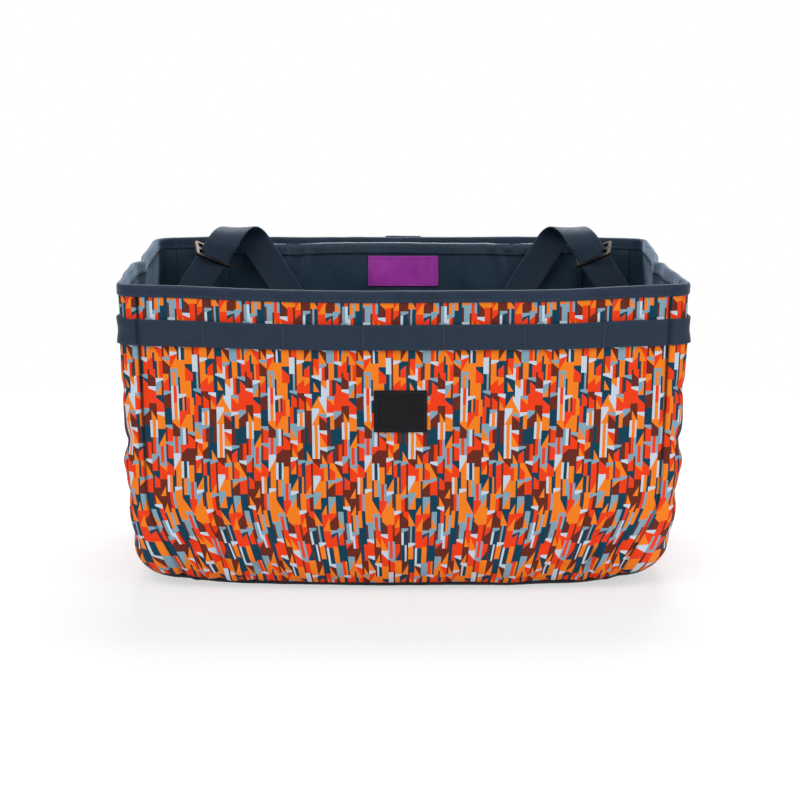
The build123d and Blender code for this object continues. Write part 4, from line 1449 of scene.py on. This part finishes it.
@dataclass
class ShoulderStrap:
    """One length of webbing from the left side wall, over two arches and the floor, to the right one."""

    form: WallForm
    finishes: Finishes
    pocket_front: float
    wall_t: float
    width: float = 25 * MM
    thick: float = 1.4 * MM
    lean: float = radians(33)
    turn_r: float = 14 * MM
    apex_x: float = 138 * MM
    apex_z: float = 252 * MM
    leg: float = 62 * MM  # straight, below each arch, where the adjuster slides
    inner_leg: float = 48 * MM
    standoff: float = 9 * MM  # from the pocket to the webbing's middle
    floor_run: float = 56 * MM
    seat: float = 0.4 * MM
    edge_r: float = 28 * MM
    strips: int = 8  # cells across the webbing
    anchor_z: float = 112 * MM
    anchor_size: Spot = (34 * MM, 42 * MM)
    anchor_t: float = 1.2 * MM
    anchor_r: float = 3 * MM
    anchor_hem: float = 1.8 * MM

    def __post_init__(self) -> None:
        """Works out the left half's stations."""
        self.back_y = self.pocket_front - self.standoff
        self.front_y = self.back_y - 2 * self.turn_r
        self.turn_z = self.apex_z - self.thick / 2 - self.turn_r
        self.advance = pi * self.turn_r * tan(self.lean)
        flare = (self.form.half_rim - self.form.half_base) / self.form.height
        self.tilt = Vector((-flare, 0, 1)).normalized()
        self.off = Vector((1, 0, flare)).normalized()
        inside = self.form.half_base + flare * self.anchor_z - hypot(1, flare) * self.wall_t
        self.face = Vector((-inside, self.front_y, self.anchor_z)) + self.off * 0.1 * MM

    def turn(self, angle: float) -> Lie:
        """The webbing part of the way round the arch, from 0 to pi."""
        radial = Vector((0, -cos(angle), sin(angle)))
        x = -self.apex_x - self.advance / 2 + self.advance * angle / pi
        axis = Vector((x, self.back_y - self.turn_r, self.turn_z))
        along = Vector((sin(self.lean), cos(self.lean) * sin(angle), cos(self.lean) * cos(angle)))
        return Lie(axis + radial * self.turn_r, along, along.cross(radial))

    @staticmethod
    def run(points: Sequence[Vector], start: Vector, end: Vector, steps: int) -> list[Lie]:
        """A free stretch along a cubic curve, twisting from one way across to another."""
        p0, p1, p2, p3 = points
        lies = []
        for step in range(steps + 1):
            t = step / steps
            spot = p0 * (1 - t) ** 3 + p1 * 3 * t * (1 - t) ** 2 + p2 * 3 * t * t * (1 - t) + p3 * t ** 3
            along = ((p1 - p0) * (1 - t) ** 2 + (p2 - p1) * 2 * t * (1 - t) + (p3 - p2) * t * t).normalized()
            across = start.lerp(end, eased(t))
            lies.append(Lie(spot, along, (across - along * across.dot(along)).normalized()))
        return lies

    def half(self) -> list[Lie]:
        """The left half, from the sewn end to the middle of the floor."""
        first, last = self.turn(0.0), self.turn(pi)
        foot = first.spot - first.along * self.leg
        inner_way = last.along
        inner_foot = last.spot + inner_way * self.inner_leg
        end_mid = self.face + self.off * (self.anchor_t + 0.2 * MM + self.thick / 2)
        end_h = self.anchor_size[1] - 6 * MM
        end_top = end_mid + self.tilt * end_h / 2
        toward = Vector((0, -1, 0))
        floor_y = self.form.back_y - self.edge_r - self.width / 2 - self.seat
        floor_z = self.wall_t + self.seat + self.thick / 2
        floor_spot = Vector((-self.floor_run / 2, floor_y, floor_z))
        lies = [Lie(end_top - self.tilt * end_h * (1 - step / 8), self.tilt, toward) for step in range(8)]
        lies += self.run((end_top, end_top + self.tilt * 22 * MM, foot - first.along * 22 * MM, foot),
                         toward, first.across, 30)
        lies += [Lie(foot.lerp(first.spot, step / 10), first.along, first.across) for step in range(1, 10)]
        lies += [self.turn(pi * step / 28) for step in range(29)]
        lies += [Lie(last.spot.lerp(inner_foot, step / 8), inner_way, last.across) for step in range(1, 8)]
        before_floor = floor_spot + Vector((-44 * MM, 0, 0))
        lies += self.run((inner_foot, inner_foot + inner_way * 52 * MM, before_floor, floor_spot),
                         last.across, Vector((0, 1, 0)), 50)
        floor_mid = Vector((0, floor_y, floor_z))
        lies += [Lie(floor_spot.lerp(floor_mid, step / 5), Vector((1, 0, 0)), Vector((0, 1, 0)))
                 for step in range(1, 6)]
        return lies

    @staticmethod
    def mirrored(lie: Lie) -> Lie:
        """The same lie in the right half, run the other way."""
        flip = Matrix.Diagonal((-1, 1, 1))
        return Lie(flip @ lie.spot, -(flip @ lie.along), flip @ lie.across)

    def build(self) -> None:
        """Makes the webbing, its anchors and the stitched boxes that hold its ends."""
        left = self.half()
        lies = left + [self.mirrored(lie) for lie in reversed(left[:-1])]
        lengths = [0.0]
        for before, after in zip(lies, lies[1:]):
            lengths.append(lengths[-1] + (after.spot - before.spot).length)

        def place(station: float, across: float) -> Vector:
            """A spot on the webbing, which is a little cupped and wavy away from its sewn ends."""
            lie, length = lies[round(station)], lengths[round(station)]
            share = across / self.width
            cup = 0.5 * MM * (4 * share * share) - 0.25 * MM
            wave = 0.25 * MM * wave_noise(length * 40, share * 2, 1.9)
            free = 1 - hump(min(length, lengths[-1] - length), 50 * MM)
            return lie.spot + lie.across * across + lie.along.cross(lie.across) * ((cup + wave) * free)

        last = len(lies) - 1
        strap = mapped_sheet("strap_ribbon", self.finishes.strap_webbing, (last, self.width),
                             (last, self.strips), place, corner=(0.0, -self.width / 2))
        for corner in strap.data.uv_layers["cloth"].data:
            corner.uv.x = lengths[round(corner.uv.x)]
        thicken(strap, self.thick)
        soften(strap)
        enter(strap, BASKET, "webbing", "shoulder_strap")
        for side, name in ((1, "left"), (-1, "right")):
            self.anchor(side, name)
        log.info("strap: %.0f mm of webbing", lengths[-1] / MM)

    def anchor(self, side: int, name: str) -> None:
        """The patch on one side wall, its border stitches, and the box and cross that hold the strap's end.

        Args:
            side: 1 for the left, -1 for the right, which is its mirror image.
            name: the side's name.
        """
        flip = Matrix.Diagonal((side, 1, 1))
        half_w, half_h = self.anchor_size[0] / 2, self.anchor_size[1] / 2
        top = self.anchor_t + 0.1 * MM

        def lay(a: float, b: float, out: float = top) -> Vector:
            """A spot by its distance from the anchor's middle and how far off the wall it is."""
            return flip @ (self.face + Vector((0, a, 0)) + self.tilt * b + self.off * out)

        def place(a: float, b: float) -> Vector:
            """A spot of the anchor's cloth."""
            return lay(*rounded(a, b, half_w, half_h, self.anchor_r), self.anchor_t / 2)

        def over_strap(a: float, b: float) -> Vector:
            """A spot on top of the webbing's end, by its distance from the stitched box's middle."""
            return lay(a, b - self.anchor_r, top + self.thick + 0.35 * MM)

        piece = mapped_sheet(f"{name}_anchor_patch", self.finishes.binding_tape, self.anchor_size, (24, 30),
                             place, corner=(-half_w, -half_h))
        thicken(piece, self.anchor_t)
        enter(piece, BASKET, "webbing", f"{name}_strap_anchor")
        box = self.width / 2 - 3 * MM
        rows = box_rows(half_w - self.anchor_hem, half_h - self.anchor_hem, lay)
        rows += box_rows(box, box, over_strap)
        rows += [line_row((way * -box, -box), (way * box, box), over_strap) for way in (1, -1)]
        stitching = Stitching(length=2.2 * MM, pitch=2.9 * MM, thick=0.4 * MM)
        enter(stitching.sew(f"{name}_anchor_stitches", self.finishes.navy_thread, rows), BASKET, "webbing")


# =========================================================================== sleeve, frame and adjusters
@dataclass
class SoftCopy:
    """A packed cloth piece, cut finer, softened and given a cloth map."""

    cell: float = 4 * MM
    sway: float = 0.5 * MM
    held_y: float = 1.5 * MM  # how far from its front face it is sewn flat

    def build(self, node: str, name: str, material: Material, slot: str) -> Object:
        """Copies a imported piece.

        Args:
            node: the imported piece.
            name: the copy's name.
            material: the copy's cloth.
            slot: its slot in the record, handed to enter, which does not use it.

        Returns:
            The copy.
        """
        bm = bmesh.new()
        bm.from_mesh(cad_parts[node].data)
        bmesh.ops.remove_doubles(bm, verts=bm.verts, dist=0.02 * MM)
        bmesh.ops.dissolve_limit(bm, angle_limit=radians(1), verts=bm.verts, edges=bm.edges)
        low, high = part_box(node)
        for axis in range(3):
            normal = Vector([1.0 if index == axis else 0.0 for index in range(3)])
            for step in range(1, int((high[axis] - low[axis]) / self.cell)):
                at = normal * (low[axis] + step * self.cell)
                whole = [*bm.verts, *bm.edges, *bm.faces]
                bmesh.ops.bisect_plane(bm, geom=whole, plane_co=at, plane_no=normal)
        bm.normal_update()
        for vert in bm.verts:
            spot = vert.co
            moved = noise.noise(spot * 22) * self.sway + noise.noise(spot * 70) * self.sway * 0.35
            moved *= eased((spot.y - low.y - self.held_y) / (6 * MM))
            vert.co = spot + Vector((0.5, 1.0, 0.4)) * moved
        layer = bm.loops.layers.uv.new("cloth")
        bm.normal_update()
        for face in bm.faces:
            lean = max(range(3), key=lambda axis: abs(face.normal[axis]))
            across, up = [(1, 2), (0, 2), (0, 1)][lean]
            for loop in face.loops:
                loop[layer].uv = (loop.vert.co[across], loop.vert.co[up])
        for edge in bm.edges:
            edge.smooth = len(edge.link_faces) != 2 or edge.calc_face_angle(0.0) < radians(50)
        piece = finished(bm, name, material)
        return enter(piece, BASKET, slot, node)


@dataclass
class Carrier:
    """The sleeve on the back, the tube frame in it, the block, and the strap's adjusters."""

    finishes: Finishes
    skew: float = radians(23)  # how far each adjuster is turned in its own plane
    flatter: float = radians(20)  # and tipped towards the webbing
    lean: float = radians(33)
    slot_pitch: float = 8.4 * MM

    def build(self) -> None:
        """Dresses the rear pieces and the adjusters."""
        finishes = self.finishes
        soft = SoftCopy()
        soft.build("rear_sleeve", "soft_sleeve", finishes.base_fabric, "base_fabric")
        soft.build("sleeve_tape", "soft_sleeve_tape", finishes.binding_tape, "binding_tape")
        hard = {f"frame_tube_{place}": finishes.frame_tube for place in ("left", "right", "lower", "upper")}
        hard |= {"carrier_plate": finishes.carrier_plate, "carrier_block": finishes.block_plastic,
                 "carrier_bolts": finishes.fastener, "carrier_nuts": finishes.fastener}
        for node, material in hard.items():
            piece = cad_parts[node]
            piece.data.materials.clear()
            piece.data.materials.append(material)
            log.info("%s: finished as %s", node, material.name)
        for side, turn in (("left", self.skew), ("right", -self.skew)):
            self.adjuster(side, turn)

    def adjuster(self, side: str, turn: float) -> None:
        """One adjuster, which sits a little askew on its webbing.

        Args:
            side: left or right.
            turn: how far it is turned in its own plane.
        """
        node = f"{side}_adjuster"
        bm = bmesh.new()
        bm.from_mesh(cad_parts[node].data)
        middle = sum((vert.co for vert in bm.verts), Vector()) / len(bm.verts)
        largest = max(bm.faces, key=lambda face: face.calc_area())
        normal = largest.normal if largest.normal.y < 0 else -largest.normal
        way = 1 if side == "right" else -1
        across = Vector((cos(self.lean), 0, way * sin(self.lean)))
        slot = middle - normal.cross(across).normalized() * (self.slot_pitch / 2)
        spin = Matrix.Rotation(-self.flatter, 4, across) @ Matrix.Rotation(turn, 4, normal)
        bm.transform(Matrix.Translation(slot) @ spin @ Matrix.Translation(-slot))
        piece = finished(bm, f"{side}_slide", self.finishes.adjuster_metal)
        enter(piece, node, "adjuster_metal", node)


# =========================================================================== studio
@dataclass
class Studio:
    """Pale floor, soft light and the camera."""

    lens: float = 123.2
    eye: Vector = field(default_factory=lambda: Vector((-0.0027, -2.1907, 0.507)))
    pitch: float = radians(10)

    def build(self) -> None:
        """Makes the floor, the lights, the world and the camera."""
        self.floor()
        self.world()
        self.light("key", (-0.9, -1.7, 1.9), (0, -0.1, 0.12), 1.5, 24)
        self.light("fill", (1.5, -1.3, 0.9), (0, -0.1, 0.12), 1.3, 9)
        self.light("rim", (0.15, 1.3, 1.7), (0, 0.0, 0.2), 1.2, 46)
        self.camera()

    def floor(self) -> None:
        """A plain pale floor that fades into the white backdrop away from the basket."""
        material, g, shader, place = new_material("pale_floor", Place.OBJECT)
        shader.inputs["Base Color"].default_value = (0.93, 0.93, 0.94, 1.0)
        shader.inputs["Roughness"].default_value = 0.9
        shader.inputs["Specular IOR Level"].default_value = 0.1
        away = g.node("ShaderNodeVectorMath", operation="LENGTH")
        g.feed(away.inputs[0], place)
        clear = g.node("ShaderNodeBsdfTransparent")
        mixed = g.node("ShaderNodeMixShader")
        to_camera = g.node("ShaderNodeLightPath").outputs["Is Camera Ray"]
        seen = g.math("MULTIPLY", to_camera, 0.6)
        g.feed(mixed.inputs[0], g.math("MAXIMUM", seen, g.span(away.outputs["Value"], 0.30, 0.85)))
        g.feed(mixed.inputs[1], shader.outputs[0])
        g.feed(mixed.inputs[2], clear.outputs[0])
        g.feed(material.node_tree.nodes["Material Output"].inputs["Surface"], mixed.outputs[0])
        bm = bmesh.new()
        bmesh.ops.create_grid(bm, x_segments=2, y_segments=2, size=1.5)
        finished(bm, "floor", material, smooth=False)

    def world(self) -> None:
        """Even light, with a white backdrop for the camera."""
        world = bpy.data.worlds.new("studio")
        bpy.context.scene.world = world
        world.use_nodes = True
        g = Graph(world.node_tree)
        back = world.node_tree.nodes["Background"]
        seen = g.node("ShaderNodeLightPath").outputs["Is Camera Ray"]
        g.feed(back.inputs["Color"], g.blend(seen, (0.90, 0.93, 1.0), (1.0, 1.0, 1.0)))
        g.feed(back.inputs["Strength"], g.mix(seen, 0.55, 1.0))

    @staticmethod
    def light(name: str, spot: Sequence[float], target: Sequence[float], size: float, watts: float) -> None:
        """A square soft light aimed at a point."""
        data = bpy.data.lights.new(name, "AREA")
        data.shape, data.size, data.energy = "SQUARE", size, watts
        lamp = bpy.data.objects.new(name, data)
        lamp.location = spot
        lamp.rotation_euler = (Vector(target) - Vector(spot)).to_track_quat("-Z", "Y").to_euler()
        bpy.context.scene.collection.objects.link(lamp)

    def camera(self) -> None:
        """A long lens in front, looking slightly down."""
        data = bpy.data.cameras.new("camera")
        data.lens = self.lens
        eye = bpy.data.objects.new("camera", data)
        eye.location = self.eye
        eye.rotation_euler = (pi / 2 - self.pitch, 0, 0)
        bpy.context.scene.collection.objects.link(eye)
        bpy.context.scene.camera = eye


def main() -> None:
    """Builds the whole scene."""
    form = WallForm(
        half_rim=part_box("right_side_panel")[1].x, height=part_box("rim_binding")[1].z,
        back_y=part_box("back_panel")[1].y, corner_y=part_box("front_panel")[0].y + WallForm.rim_bow,
        lining_in=SewnWall.fabric_t + SewnWall.board_t + 2 * SewnWall.gap + SewnWall.lining_t / 2,
    )
    finishes = Finishes(form.front_half)
    wall = SewnWall(form, finishes)
    wall.build()
    RimBinding(form, finishes).build()
    BandAndPatch(form, finishes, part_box("webbing_band"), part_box("front_patch")).build()
    pocket_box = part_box("inner_pocket")
    InnerPocket(finishes, pocket_box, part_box("pocket_hem"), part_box("inner_label")).build()
    ShoulderStrap(form, finishes, pocket_box[0].y, wall.wall_t).build()
    Carrier(finishes).build()
    Studio().build()
    bpy.context.scene.view_settings.view_transform = "Standard"


if __name__ == "__main__":
    main()
